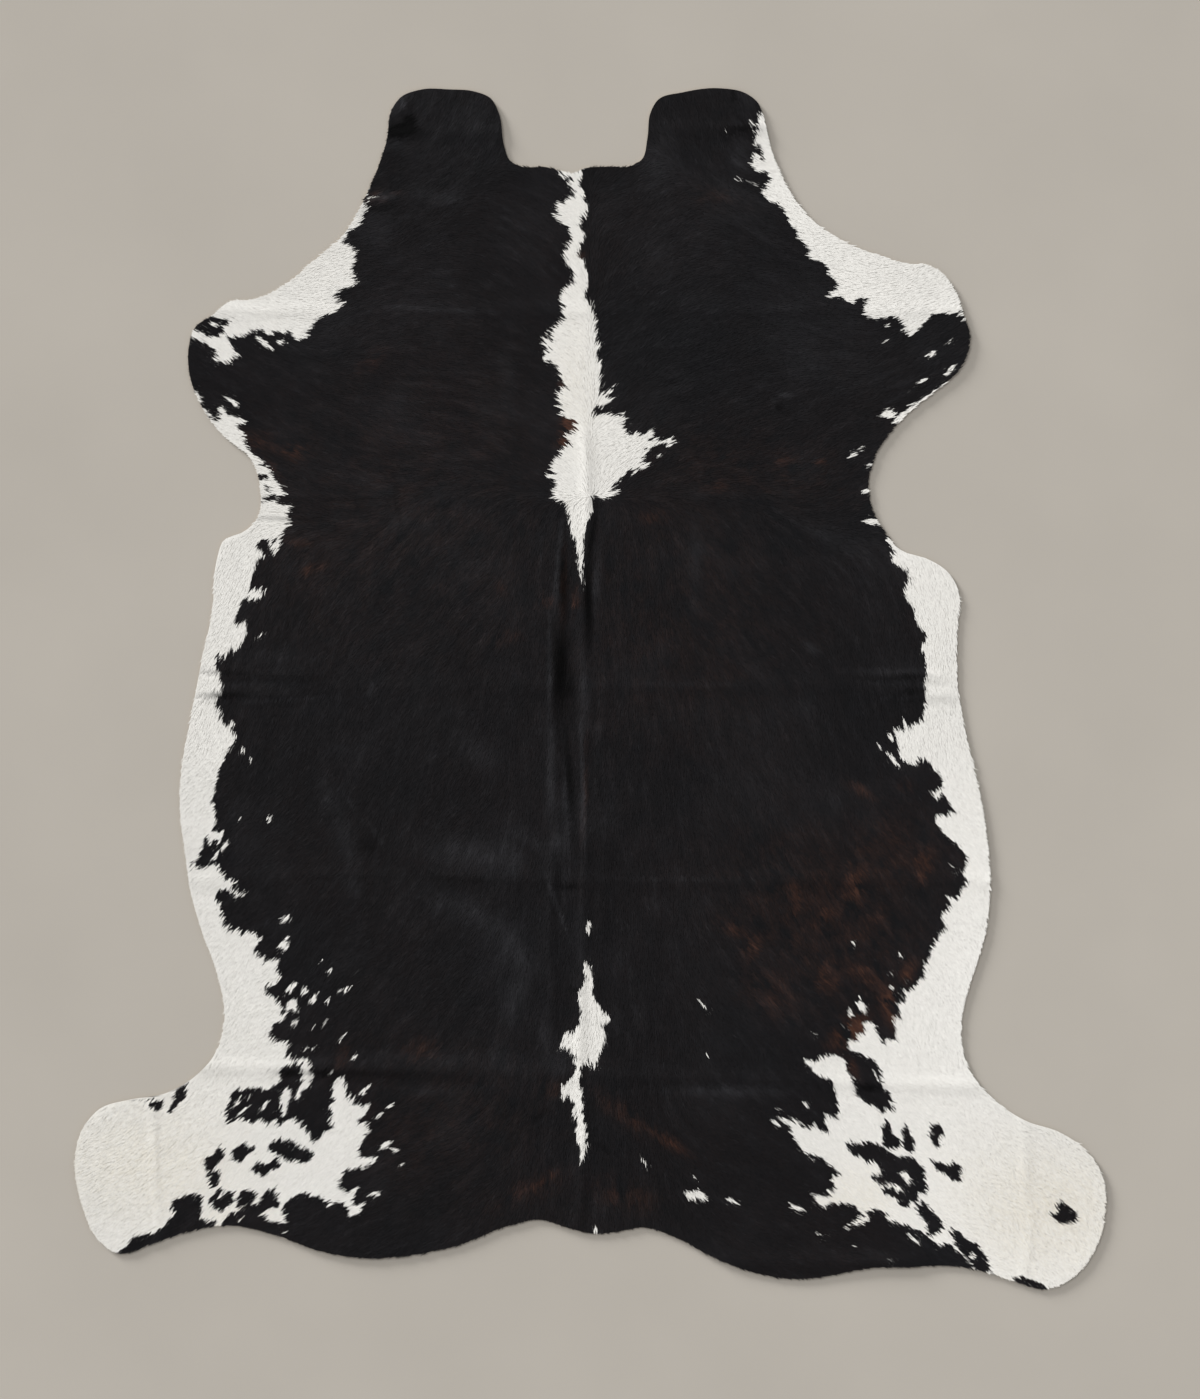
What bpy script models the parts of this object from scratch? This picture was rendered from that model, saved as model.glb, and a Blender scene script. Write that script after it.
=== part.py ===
"""A cowhide rug with its hair on, lying flat: one sheet, cut to the outline of the whole skin.

Metres, +Z up, +Y towards the neck, +X to the right as seen from above. The hair side faces up and
the flesh side lies on the floor at z = 0, under the middle of the rug's box.
Run with: blender --background --python part.py
"""

import math

import bmesh
import bpy
import numpy as np

MM = 0.001

# ---------------------------------------------------------------- driving sizes
THICKNESS = 3.0 * MM  # leather of about 2 mm and the hair pressed flat on it
STEPS_PER_SPAN = 4  # short chords between two neighbouring points of the outline
SLAB_MARGIN = 40 * MM  # how far the folded slab reaches past the outline before it is cut
CUTTER_DEPTH = 60 * MM  # the outline's prism runs well past both faces of the slab
WIDE_STEP = 110 * MM  # mesh spacing of the slab where the rug is flat
NARROW_STEP = 4 * MM  # mesh lines closer than this are left out
FOLD_STEPS = (-1.7, -0.7, 0.0, 0.7, 1.7)  # mesh lines over a fold, in its half widths
UNEVEN = 0.35  # the share of its height that a fold loses where it is lowest
UNEVEN_PITCH = 470 * MM  # from one high stretch of a fold to the next
FOLD_FADE = 60 * MM  # how far a fold runs on past its stretch while it dies out
WELD_DISTANCE = 0.01 * MM
SHARP_ANGLE = math.radians(35)  # the rug's cut edge stays sharp, and its folds are shaded smooth

COAT_COLOUR = (0.012, 0.011, 0.012, 1.0)  # brown-black hair, linear
COAT_ROUGHNESS = 0.55

# ---------------------------------------------------------------- the outline
# Clockwise from the left neck flap, in millimetres from the middle of the rug.
# Each stretch is a row of (x, y) places that one smooth curve runs through.
OUTLINE = {
    "left neck flap": [
        (-361, 972), (-352, 1027), (-338, 1047), (-297, 1063), (-250, 1063),
        (-203, 1059), (-175, 1047), (-160, 1020), (-150, 960),
    ],
    "neck edge": [
        (-141, 937), (-120, 926), (-75, 925), (-57, 919), (-32, 914), (-10, 923),
        (30, 926), (70, 927), (90, 938),
    ],
    "right neck flap": [
        (100, 975), (106, 1022), (119, 1044), (165, 1058), (228, 1065), (278, 1055),
        (299, 1038), (308, 1010),
    ],
    "right shoulder": [
        (320, 958), (345, 897), (375, 850), (437, 800), (480, 780), (520, 767),
    ],
    "right foreleg": [
        (553, 755), (592, 753), (625, 736), (647, 704), (662, 662), (672, 632),
        (663, 580), (636, 546), (590, 511),
    ],
    "right waist": [
        (545, 470), (512, 427), (494, 372), (499, 322), (522, 278), (550, 248),
    ],
    "right flank": [
        (600, 231), (636, 207), (654, 172), (651, 125), (650, 20), (667, -85),
        (689, -180), (705, -285), (708, -350), (699, -435),
    ],
    "right hock": [
        (680, -500), (662, -560), (657, -622), (674, -678), (718, -727),
    ],
    "right hind leg": [
        (775, -764), (828, -781), (878, -815), (908, -866), (912, -925), (896, -988),
        (860, -1038), (800, -1063),
    ],
    "right rump edge": [
        (757, -1051), (705, -1034), (655, -1023), (560, -1024), (490, -1026), (425, -1039),
        (360, -1045), (300, -1036), (230, -1012), (150, -971),
    ],
    "tail": [
        (95, -954), (50, -961), (12, -965), (-35, -956), (-90, -940),
    ],
    "left rump edge": [
        (-145, -951), (-230, -984), (-320, -1003), (-400, -1008), (-480, -995), (-560, -966),
        (-640, -950), (-705, -959), (-775, -982),
    ],
    "left hind leg": [
        (-838, -1000), (-872, -975), (-900, -915), (-913, -840), (-902, -783), (-868, -741),
        (-815, -725), (-755, -715),
    ],
    "left hock": [
        (-705, -688), (-663, -641), (-648, -580), (-661, -505), (-689, -427),
    ],
    "left flank": [
        (-709, -355), (-717, -295), (-727, -215), (-724, -140), (-708, -50), (-690, 45),
        (-670, 140), (-662, 230),
    ],
    "left waist": [
        (-650, 264), (-612, 281), (-590, 303), (-585, 355), (-600, 406), (-650, 448),
    ],
    "left foreleg": [
        (-687, 497), (-709, 552), (-712, 602), (-699, 643), (-668, 663), (-643, 685),
        (-590, 692),
    ],
    "left shoulder": [
        (-545, 714), (-490, 759), (-436, 806), (-402, 865), (-376, 925),
    ],
}

# ---------------------------------------------------------------- the folds
# The rug was packed folded, and its creases still stand up a little from the floor.
# Columns: name, y at the rug's middle line, slope across, height, half width, and the stretch
# of x it shows on. Millimetres, and the slope is a ratio.
CROSS_FOLDS = [
    ("across the neck flaps", 985, 0.010, 4.0, 22, -420, 420),
    ("across the shoulders", 660, 0.004, 2.5, 26, -760, 760),
    ("across the waist", 334, 0.006, 2.0, 26, -640, 560),
    ("upper pleat at the belly", 20, 0.000, 3.5, 15, -760, 720),
    ("lower pleat at the belly", -15, -0.004, 4.0, 15, -760, 720),
    ("across the loin", -352, 0.000, 2.5, 24, -780, 760),
    ("across the hind legs", -683, -0.012, 3.5, 24, -760, 780),
    ("along the right rump edge", -1018, 0.000, 3.5, 20, 240, 560),
]

# Columns: name, x where it starts and ends, height, half width, and its stretch of y.
LONG_FOLDS = [
    ("left of the spine", -66, -52, 3.0, 16, -620, 300),
    ("spine", -16, -6, 3.5, 13, -930, 920),
    ("right of the spine", 14, 28, 2.0, 16, -520, 260),
    ("left hind leg", -768, -768, 2.5, 22, -960, -735),
    ("right hind leg", 772, 772, 2.5, 22, -1040, -775),
]

# The ends that were rolled inwards lift a little off the floor.
# Columns: name, x and y of the lift's middle, how high, and how far it spreads.
LIFTS = [
    ("left neck flap", -300, 1050, 4.0, 70),
    ("right neck flap", 250, 1055, 4.0, 70),
    ("left foreleg", -705, 590, 3.5, 80),
    ("right foreleg", 665, 620, 4.0, 80),
    ("left flank", -722, -190, 3.0, 120),
    ("right flank", 704, -310, 3.5, 130),
    ("left hind leg", -905, -850, 4.5, 110),
    ("right hind leg", 900, -930, 5.0, 120),
]


def outline_points():
    """The rug's edge as one closed smooth curve through every place in OUTLINE, centred on its box.

    Between two places it is a cubic whose slope at each end points from the place before
    to the place after, shared out by the distances between them.
    """
    knots = np.array([place for stretch in OUTLINE.values() for place in stretch], float) * MM
    before, after = np.roll(knots, 1, axis=0), np.roll(knots, -1, axis=0)
    reach_in = np.linalg.norm(knots - before, axis=1)[:, None]
    reach_out = np.linalg.norm(after - knots, axis=1)[:, None]
    heading = (knots - before) / reach_in * reach_out + (after - knots) / reach_out * reach_in
    heading /= reach_in + reach_out
    t = np.linspace(0, 1, STEPS_PER_SPAN, endpoint=False)[None, :, None]
    start, end = knots[:, None], after[:, None]
    leave = (heading * reach_out)[:, None]
    arrive = (np.roll(heading, -1, axis=0) * reach_out)[:, None]
    curve = (
        (2 * t**3 - 3 * t**2 + 1) * start
        + (t**3 - 2 * t**2 + t) * leave
        + (3 * t**2 - 2 * t**3) * end
        + (t**3 - t**2) * arrive
    )
    edge = curve.reshape(-1, 2)
    return edge - (edge.min(axis=0) + edge.max(axis=0)) / 2


def along_fold(place, middle, start, end):
    """The share of its full height that a fold has along its length: it comes and goes in a slow
    wave, shifted by where the fold lies, and eases to 0 past start and end."""
    ease = np.clip(np.minimum(place - start, end - place) / FOLD_FADE + 1, 0, 1)
    wave = np.cos(2 * np.pi * (place + middle) / UNEVEN_PITCH)
    return ease * ease * (3 - 2 * ease) * (1 - UNEVEN * (1 - wave) / 2)


def relief(x, y):
    """How high the flesh side stands off the floor: the sum of rounded ridges over the folds and lifts."""
    height = np.zeros_like(x)
    for _, mid, slope, rise, half, start, end in CROSS_FOLDS:
        off = (y - mid * MM - slope * x) / (half * MM)
        height += rise * MM * np.exp(-(off**2)) * along_fold(x, mid * MM, start * MM, end * MM)
    for _, first, last, rise, half, start, end in LONG_FOLDS:
        along = np.clip((y / MM - start) / (end - start), 0, 1)
        off = (x - (first + (last - first) * along) * MM) / (half * MM)
        height += rise * MM * np.exp(-(off**2)) * along_fold(y, first * MM, start * MM, end * MM)
    for _, mid_x, mid_y, rise, spread in LIFTS:
        far = ((x - mid_x * MM) ** 2 + (y - mid_y * MM) ** 2) / (spread * MM) ** 2
        height += rise * MM * np.exp(-far)
    return height


def mesh_lines(low, high, folds):
    """Places of the slab's mesh lines along one axis: close over each fold and wide apart between."""
    lines = [low, high]
    for middle, half in folds:
        lines += [middle + step * half for step in FOLD_STEPS]
    lines = sorted(line for line in lines if low <= line <= high)
    spaced = [lines[0]]
    for line in lines[1:]:
        gap = line - spaced[-1]
        if gap < NARROW_STEP:
            continue
        pieces = math.ceil(gap / WIDE_STEP)
        start = spaced[-1]
        spaced += [start + gap * (i + 1) / pieces for i in range(pieces)]
    return np.array(spaced)


def new_collection(name):
    collection = bpy.data.collections.new(name)
    bpy.context.scene.collection.children.link(collection)
    return collection


def folded_slab(edge, collection):
    """A sheet with the folds in it, larger than the rug: a grid raised by relief, given its thickness."""
    (left, bottom), (right, top) = edge.min(axis=0) - SLAB_MARGIN, edge.max(axis=0) + SLAB_MARGIN
    spans = [((first + last) / 2 * MM, half * MM) for _, first, last, _, half, _, _ in LONG_FOLDS]
    bands = [(mid * MM, half * MM) for _, mid, _, _, half, _, _ in CROSS_FOLDS]
    columns, rows = mesh_lines(left, right, spans), mesh_lines(bottom, top, bands)
    x, y = np.meshgrid(columns, rows)
    places = np.stack([x, y, relief(x, y) + THICKNESS], axis=-1).reshape(-1, 3)
    corner = np.arange(len(places)).reshape(x.shape)
    quads = np.stack(
        [corner[:-1, :-1], corner[:-1, 1:], corner[1:, 1:], corner[1:, :-1]], axis=-1
    ).reshape(-1, 4)
    mesh = bpy.data.meshes.new("hide")
    mesh.from_pydata(places.tolist(), [], quads.tolist())
    slab = bpy.data.objects.new("hide", mesh)
    collection.objects.link(slab)
    shell = slab.modifiers.new("leather and coat", "SOLIDIFY")
    shell.thickness = THICKNESS
    shell.offset = -1
    return slab


def outline_prism(edge, collection):
    """The rug's outline as a tall prism, made from a filled flat curve and then a mesh."""
    flat = bpy.data.curves.new("outline", "CURVE")
    flat.dimensions = "2D"
    flat.fill_mode = "BOTH"
    flat.extrude = CUTTER_DEPTH / 2
    loop = flat.splines.new("POLY")
    loop.points.add(len(edge) - 1)
    loop.use_cyclic_u = True
    for point, (x, y) in zip(loop.points, edge):
        point.co = (x, y, 0, 1)
    curve = bpy.data.objects.new("outline", flat)
    collection.objects.link(curve)
    bpy.context.view_layer.update()
    evaluated = curve.evaluated_get(bpy.context.evaluated_depsgraph_get())
    mesh = bpy.data.meshes.new_from_object(evaluated)
    solid = bmesh.new()
    solid.from_mesh(mesh)
    bmesh.ops.remove_doubles(solid, verts=solid.verts, dist=WELD_DISTANCE)
    bmesh.ops.recalc_face_normals(solid, faces=solid.faces)
    solid.to_mesh(mesh)
    solid.free()
    prism = bpy.data.objects.new("outline prism", mesh)
    prism.matrix_world = curve.matrix_world
    collection.objects.link(prism)
    bpy.data.objects.remove(curve)
    prism.hide_render = True
    prism.display_type = "WIRE"
    return prism


def coat_material():
    """Hair-on cowhide: short glossy hair, mostly black."""
    material = bpy.data.materials.new("hair-on cowhide")
    material.use_nodes = True
    shader = material.node_tree.nodes["Principled BSDF"]
    shader.inputs["Base Color"].default_value = COAT_COLOUR
    shader.inputs["Roughness"].default_value = COAT_ROUGHNESS
    shader.inputs["Metallic"].default_value = 0.0
    return material


def build():
    for existing in list(bpy.data.objects):
        bpy.data.objects.remove(existing)
    rug = new_collection("cowhide rug")
    cutters = new_collection("cutters")
    edge = outline_points()
    hide = folded_slab(edge, rug)
    hide.data.materials.append(coat_material())
    trim = hide.modifiers.new("cut to the outline", "BOOLEAN")
    trim.operation = "INTERSECT"
    trim.solver = "EXACT"
    trim.object = outline_prism(edge, cutters)
    hide.data.shade_smooth()
    hide.data.set_sharp_from_angle(angle=SHARP_ANGLE)


build()
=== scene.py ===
"""The looks of a cowhide rug with its hair on, lying flat: one skin, and its coat of short hair.

Metres, +Z up, +Y towards the neck, +X to the right as seen from above, in the frame of the CAD model.
The skin is a closed sheet inside the CAD outline. The coat is many short locks that lie on it along
the lie of the hair, and each lock takes its colour from a chart of the rug's natural markings,
with painted sheen and painted shade mixed in.
"""

import math

import bpy
import numpy as np
from bpy.props import FloatProperty, FloatVectorProperty, IntProperty, PointerProperty
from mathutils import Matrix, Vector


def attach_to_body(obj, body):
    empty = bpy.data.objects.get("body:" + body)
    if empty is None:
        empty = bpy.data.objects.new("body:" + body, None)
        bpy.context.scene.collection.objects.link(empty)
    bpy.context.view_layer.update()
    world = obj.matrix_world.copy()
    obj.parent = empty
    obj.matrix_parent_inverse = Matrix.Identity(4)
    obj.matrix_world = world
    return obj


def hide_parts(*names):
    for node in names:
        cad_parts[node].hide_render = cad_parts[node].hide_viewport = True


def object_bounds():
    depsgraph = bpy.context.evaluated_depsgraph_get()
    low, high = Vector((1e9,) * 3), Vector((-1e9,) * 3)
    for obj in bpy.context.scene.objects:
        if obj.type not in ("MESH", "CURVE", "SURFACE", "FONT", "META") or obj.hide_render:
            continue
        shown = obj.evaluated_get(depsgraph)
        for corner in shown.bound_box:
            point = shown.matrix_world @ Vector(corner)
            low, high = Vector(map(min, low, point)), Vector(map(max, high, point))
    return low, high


bl_info = {
    "name": "Cowhide rug",
    "version": (1, 0, 0),
    "blender": (4, 5, 0),
    "location": "3D View > Sidebar > Cowhide rug",
    "description": "Builds a cowhide rug with its hair on, lying flat on a plain floor",
    "category": "Add Mesh",
}

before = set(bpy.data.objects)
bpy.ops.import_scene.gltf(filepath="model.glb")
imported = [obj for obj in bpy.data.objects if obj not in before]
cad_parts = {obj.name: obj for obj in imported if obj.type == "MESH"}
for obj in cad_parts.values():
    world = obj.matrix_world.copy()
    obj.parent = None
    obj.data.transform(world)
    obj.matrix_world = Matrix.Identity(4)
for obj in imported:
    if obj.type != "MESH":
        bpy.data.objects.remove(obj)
cad_low, cad_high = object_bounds()

MM = 0.001

# ---------------------------------------------------------------- the outline, as in the CAD source
# Clockwise from the left neck flap, in millimetres from the middle of the rug.
# Each stretch is a row of (x, y) places that one smooth curve runs through.
OUTLINE = {
    "left neck flap": [
        (-361, 972), (-352, 1027), (-338, 1047), (-297, 1063), (-250, 1063),
        (-203, 1059), (-175, 1047), (-160, 1020), (-150, 960),
    ],
    "neck edge": [
        (-141, 937), (-120, 926), (-75, 925), (-57, 919), (-32, 914), (-10, 923),
        (30, 926), (70, 927), (90, 938),
    ],
    "right neck flap": [
        (100, 975), (106, 1022), (119, 1044), (165, 1058), (228, 1065), (278, 1055),
        (299, 1038), (308, 1010),
    ],
    "right shoulder": [
        (320, 958), (345, 897), (375, 850), (437, 800), (480, 780), (520, 767),
    ],
    "right foreleg": [
        (553, 755), (592, 753), (625, 736), (647, 704), (662, 662), (672, 632),
        (663, 580), (636, 546), (590, 511),
    ],
    "right waist": [
        (545, 470), (512, 427), (494, 372), (499, 322), (522, 278), (550, 248),
    ],
    "right flank": [
        (600, 231), (636, 207), (654, 172), (651, 125), (650, 20), (667, -85),
        (689, -180), (705, -285), (708, -350), (699, -435),
    ],
    "right hock": [
        (680, -500), (662, -560), (657, -622), (674, -678), (718, -727),
    ],
    "right hind leg": [
        (775, -764), (828, -781), (878, -815), (908, -866), (912, -925), (896, -988),
        (860, -1038), (800, -1063),
    ],
    "right rump edge": [
        (757, -1051), (705, -1034), (655, -1023), (560, -1024), (490, -1026), (425, -1039),
        (360, -1045), (300, -1036), (230, -1012), (150, -971),
    ],
    "tail": [
        (95, -954), (50, -961), (12, -965), (-35, -956), (-90, -940),
    ],
    "left rump edge": [
        (-145, -951), (-230, -984), (-320, -1003), (-400, -1008), (-480, -995), (-560, -966),
        (-640, -950), (-705, -959), (-775, -982),
    ],
    "left hind leg": [
        (-838, -1000), (-872, -975), (-900, -915), (-913, -840), (-902, -783), (-868, -741),
        (-815, -725), (-755, -715),
    ],
    "left hock": [
        (-705, -688), (-663, -641), (-648, -580), (-661, -505), (-689, -427),
    ],
    "left flank": [
        (-709, -355), (-717, -295), (-727, -215), (-724, -140), (-708, -50), (-690, 45),
        (-670, 140), (-662, 230),
    ],
    "left waist": [
        (-650, 264), (-612, 281), (-590, 303), (-585, 355), (-600, 406), (-650, 448),
    ],
    "left foreleg": [
        (-687, 497), (-709, 552), (-712, 602), (-699, 643), (-668, 663), (-643, 685),
        (-590, 692),
    ],
    "left shoulder": [
        (-545, 714), (-490, 759), (-436, 806), (-402, 865), (-376, 925),
    ],
}
OUTLINE_PLACES = [place for stretch in OUTLINE.values() for place in stretch]
STEPS_PER_SPAN = 8  # short chords between two neighbouring places of the outline

# The four corners of the skin's grid, as places of OUTLINE. Between them run its four sides:
# neck, right, rump and left. Each of the two long sides only falls or only rises all the way.
TOP_LEFT, TOP_RIGHT = (-338, 1047), (299, 1038)
BOTTOM_RIGHT, BOTTOM_LEFT = (860, -1038), (-838, -1000)

# ---------------------------------------------------------------- the folds, where the CAD source has them
# Columns: name, y at the rug's middle line, slope across, height, half width, and the stretch
# of x it shows on. Millimetres, and the slope is a ratio.
CROSS_FOLDS = [
    ("across the neck flaps", 985, 0.010, 2.0, 14, -420, 420),
    ("across the shoulders", 668, 0.000, 1.0, 12, -760, 760),
    ("across the waist", 334, 0.006, 0.8, 14, -520, 460),
    ("upper pleat at the left belly", 22, 0.004, 2.4, 11, -640, -520),
    ("lower pleat at the left belly", -14, -0.004, 2.8, 11, -645, -540),
    ("upper pleat at the right belly", 16, 0.004, 2.4, 10, 540, 590),
    ("lower pleat at the right belly", -10, -0.004, 2.4, 10, 550, 610),
    ("across the belly", 3, 0.002, 1.0, 16, -500, 520),
    ("across the loin", -340, 0.000, 1.2, 14, -780, 760),
    ("across the hind legs", -686, -0.026, 1.7, 14, -680, 660),
    ("along the right rump edge", -1018, 0.000, 3.0, 18, 240, 560),
]

# Columns: name, x where it starts and ends, height, half width, and its stretch of y.
LONG_FOLDS = [
    ("left of the spine", -70, -54, 1.8, 11, -620, 300),
    ("spine", -16, -6, 2.0, 11, -930, 430),
    ("right of the spine", 14, 28, 1.0, 12, -520, 260),
    ("left hind leg", -768, -768, 0.8, 10, -960, -735),
    ("right hind leg", 772, 772, 0.8, 10, -1040, -775),
]
WAVER = 7 * MM  # how far a long fold strays from its straight line, in two waves
LONG_WAVE, SHORT_WAVE = 58 * MM, 23 * MM  # a radian of each; the short one is half as strong

# Columns: name, x and y of the lift's middle, how high, and how far it spreads.
LIFTS = [
    ("left neck flap", -300, 1050, 2.0, 70),
    ("right neck flap", 250, 1055, 2.0, 70),
    ("left foreleg", -705, 590, 1.5, 80),
    ("right foreleg", 665, 620, 1.5, 80),
    ("left flank", -722, -190, 1.0, 120),
    ("right flank", 704, -310, 1.0, 130),
    ("left hind leg", -905, -850, 1.5, 110),
    ("left rump edge", -430, -1010, 1.8, 110),
    ("inner side of the left neck flap", -155, 1005, 2.2, 60),
    ("right hind leg", 900, -930, 1.0, 130),
]
RIM_CURL = 1.0 * MM  # how far the edge of the hide curls up off the floor, nearly all round
RIM_CELLS = 44  # how far in the curl starts, in cells of the rasters
UNEVEN = 0.35  # the share of its height that a fold loses where it is lowest
UNEVEN_PITCH = 470 * MM  # from one high stretch of a fold to the next
FOLD_FADE = 60 * MM  # how far a fold runs on past its stretch while it dies out

# ---------------------------------------------------------------- the markings
# Where a border between white and black turns, judged one by one, in millimetres from the middle of
# the rug. The fine teeth between the turns aren't charted: they come from the locks themselves.
# A ring runs on outside the rug where its patch meets the cut edge.
WHITE_PATCHES = {
    "left shoulder": [
        (-394, 884), (-401, 864), (-402, 842), (-413, 814), (-428, 812), (-440, 789), (-431, 785),
        (-416, 765), (-428, 739), (-414, 713), (-445, 707), (-457, 688), (-438, 680), (-460, 662),
        (-487, 655), (-492, 643), (-514, 620), (-523, 618), (-530, 632), (-567, 633), (-578, 627),
        (-583, 639), (-600, 637), (-611, 626), (-646, 624), (-637, 601), (-617, 592), (-641, 589),
        (-651, 576), (-668, 579), (-665, 600), (-681, 614), (-706, 624), (-740, 630), (-740, 900),
        (-398, 900),
    ],
    "left flank and hind leg": [
        (-698, 500), (-686, 496), (-680, 484), (-664, 470), (-656, 481), (-660, 499), (-649, 497),
        (-640, 484), (-623, 484), (-610, 474), (-628, 469), (-621, 447), (-612, 427), (-590, 411),
        (-576, 398), (-567, 377), (-551, 361), (-546, 347), (-559, 334), (-551, 324), (-529, 328),
        (-541, 305), (-539, 284), (-549, 272), (-551, 252), (-563, 231), (-568, 253), (-580, 267),
        (-594, 253), (-587, 237), (-579, 230), (-593, 221), (-602, 186), (-609, 168), (-590, 171),
        (-578, 163), (-598, 150), (-611, 159), (-622, 144), (-632, 114), (-625, 106), (-616, 119),
        (-607, 100), (-613, 84), (-621, 69), (-633, 60), (-638, 73), (-645, 50), (-651, 59),
        (-656, 48), (-667, 57), (-663, 33), (-652, 2), (-652, -12), (-664, -24), (-664, -38),
        (-654, -46), (-651, -68), (-634, -62), (-629, -98), (-643, -116), (-659, -147), (-667, -178),
        (-672, -206), (-665, -231), (-669, -253), (-650, -258), (-663, -281), (-667, -268),
        (-676, -283), (-681, -261), (-688, -280), (-696, -300), (-713, -316), (-692, -323),
        (-680, -317), (-665, -312), (-656, -331), (-642, -340), (-631, -343), (-637, -353),
        (-613, -372), (-632, -371), (-649, -358), (-661, -360), (-667, -379), (-657, -395),
        (-653, -417), (-641, -431), (-627, -428), (-620, -441), (-609, -430), (-581, -445),
        (-598, -461), (-592, -477), (-575, -486), (-551, -480), (-558, -500), (-553, -512),
        (-560, -524), (-578, -528), (-574, -546), (-560, -549), (-552, -560), (-549, -580),
        (-541, -573), (-538, -560), (-530, -553), (-522, -557), (-518, -577), (-536, -573),
        (-543, -586), (-556, -592), (-570, -608), (-562, -633), (-535, -630), (-543, -650),
        (-537, -657), (-518, -660), (-500, -659), (-495, -688), (-500, -710), (-511, -715),
        (-520, -732), (-527, -726), (-514, -703), (-511, -680), (-521, -667), (-537, -665),
        (-552, -678), (-553, -698), (-566, -709), (-582, -712), (-598, -707), (-613, -713),
        (-630, -710), (-643, -726), (-651, -754), (-641, -773), (-630, -768), (-624, -757),
        (-601, -774), (-588, -764), (-572, -775), (-562, -767), (-553, -781), (-545, -768),
        (-519, -765), (-511, -780), (-501, -784), (-499, -800), (-486, -804), (-472, -788),
        (-453, -781), (-464, -768), (-458, -750), (-466, -742), (-455, -734), (-457, -712),
        (-453, -695), (-440, -688), (-433, -727), (-422, -726), (-419, -741), (-392, -739),
        (-400, -754), (-421, -772), (-401, -770), (-392, -784), (-408, -803), (-413, -828),
        (-380, -836), (-394, -849), (-438, -854), (-450, -880), (-434, -894), (-408, -884),
        (-420, -898), (-427, -914), (-402, -928), (-437, -939), (-429, -925), (-447, -908),
        (-470, -912), (-486, -898), (-512, -897), (-534, -904), (-550, -925), (-542, -940),
        (-545, -985), (-980, -1100), (-980, 300), (-740, 300), (-700, 440),
    ],
    "right neck and shoulder": [
        (303, 1013), (301, 985), (293, 970), (294, 940), (292, 921), (301, 913), (314, 915),
        (325, 898), (318, 885), (307, 882), (306, 871), (325, 860), (350, 846), (358, 823), (371, 802),
        (378, 787), (388, 780), (388, 767), (422, 746), (436, 722), (440, 703), (421, 691), (449, 692),
        (460, 681), (482, 691), (495, 684), (485, 672), (495, 655), (518, 653), (535, 661), (553, 651),
        (563, 634), (572, 625), (588, 642), (606, 663), (655, 668), (668, 647), (720, 660), (720, 800),
        (420, 1030), (330, 1020),
    ],
    "edge of the right foreleg": [
        (632, 543), (612, 530), (578, 506), (548, 483), (545, 440), (700, 520), (670, 570),
    ],
    "right waist": [(498, 304), (512, 294), (519, 286), (500, 290), (480, 290)],
    "right flank and hind leg": [
        (530, 269), (531, 256), (540, 244), (541, 231), (534, 229), (547, 212), (565, 203), (567, 189),
        (556, 170), (563, 147), (569, 150), (577, 118), (588, 99), (596, 93), (595, 78), (584, 68),
        (594, 53), (595, 30), (598, 15), (590, 1), (596, -8), (593, -35), (595, -49), (580, -64),
        (572, -74), (562, -68), (552, -52), (556, -72), (540, -79), (546, -104), (552, -127),
        (562, -134), (575, -138), (588, -127), (600, -129), (612, -151), (620, -149), (628, -180),
        (602, -184), (613, -197), (630, -188), (640, -207), (650, -221), (633, -229), (622, -224),
        (614, -235), (621, -253), (640, -269), (656, -282), (667, -300), (667, -321), (662, -327),
        (672, -348), (657, -364), (652, -381), (642, -369), (633, -374), (641, -386), (627, -404),
        (624, -416), (634, -424), (617, -447), (604, -470), (597, -500), (590, -517), (571, -534),
        (558, -538), (562, -548), (547, -562), (552, -588), (538, -591), (548, -628), (535, -625),
        (518, -631), (508, -605), (500, -595), (489, -592), (491, -611), (478, -612), (475, -629),
        (457, -626), (463, -645), (483, -648), (494, -659), (512, -662), (517, -689), (519, -708),
        (531, -716), (539, -732), (537, -752), (522, -742), (521, -757), (505, -743), (474, -725),
        (471, -710), (472, -692), (459, -685), (455, -664), (445, -653), (421, -654), (402, -661),
        (380, -659), (392, -676), (414, -690), (431, -700), (443, -745), (437, -763), (416, -753),
        (424, -790), (411, -787), (399, -775), (385, -783), (366, -768), (332, -762), (354, -776),
        (362, -800), (385, -826), (413, -830), (425, -846), (447, -862), (433, -872), (436, -886),
        (420, -900), (395, -898), (401, -912), (419, -925), (425, -914), (470, -915), (487, -932),
        (458, -953), (493, -944), (495, -930), (510, -921), (532, -935), (527, -944), (558, -950),
        (584, -961), (603, -972), (620, -990), (636, -982), (656, -1001), (678, -1026), (690, -1100),
        (990, -1100), (990, -700), (770, -600), (770, 300), (560, 300),
    ],
}
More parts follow.
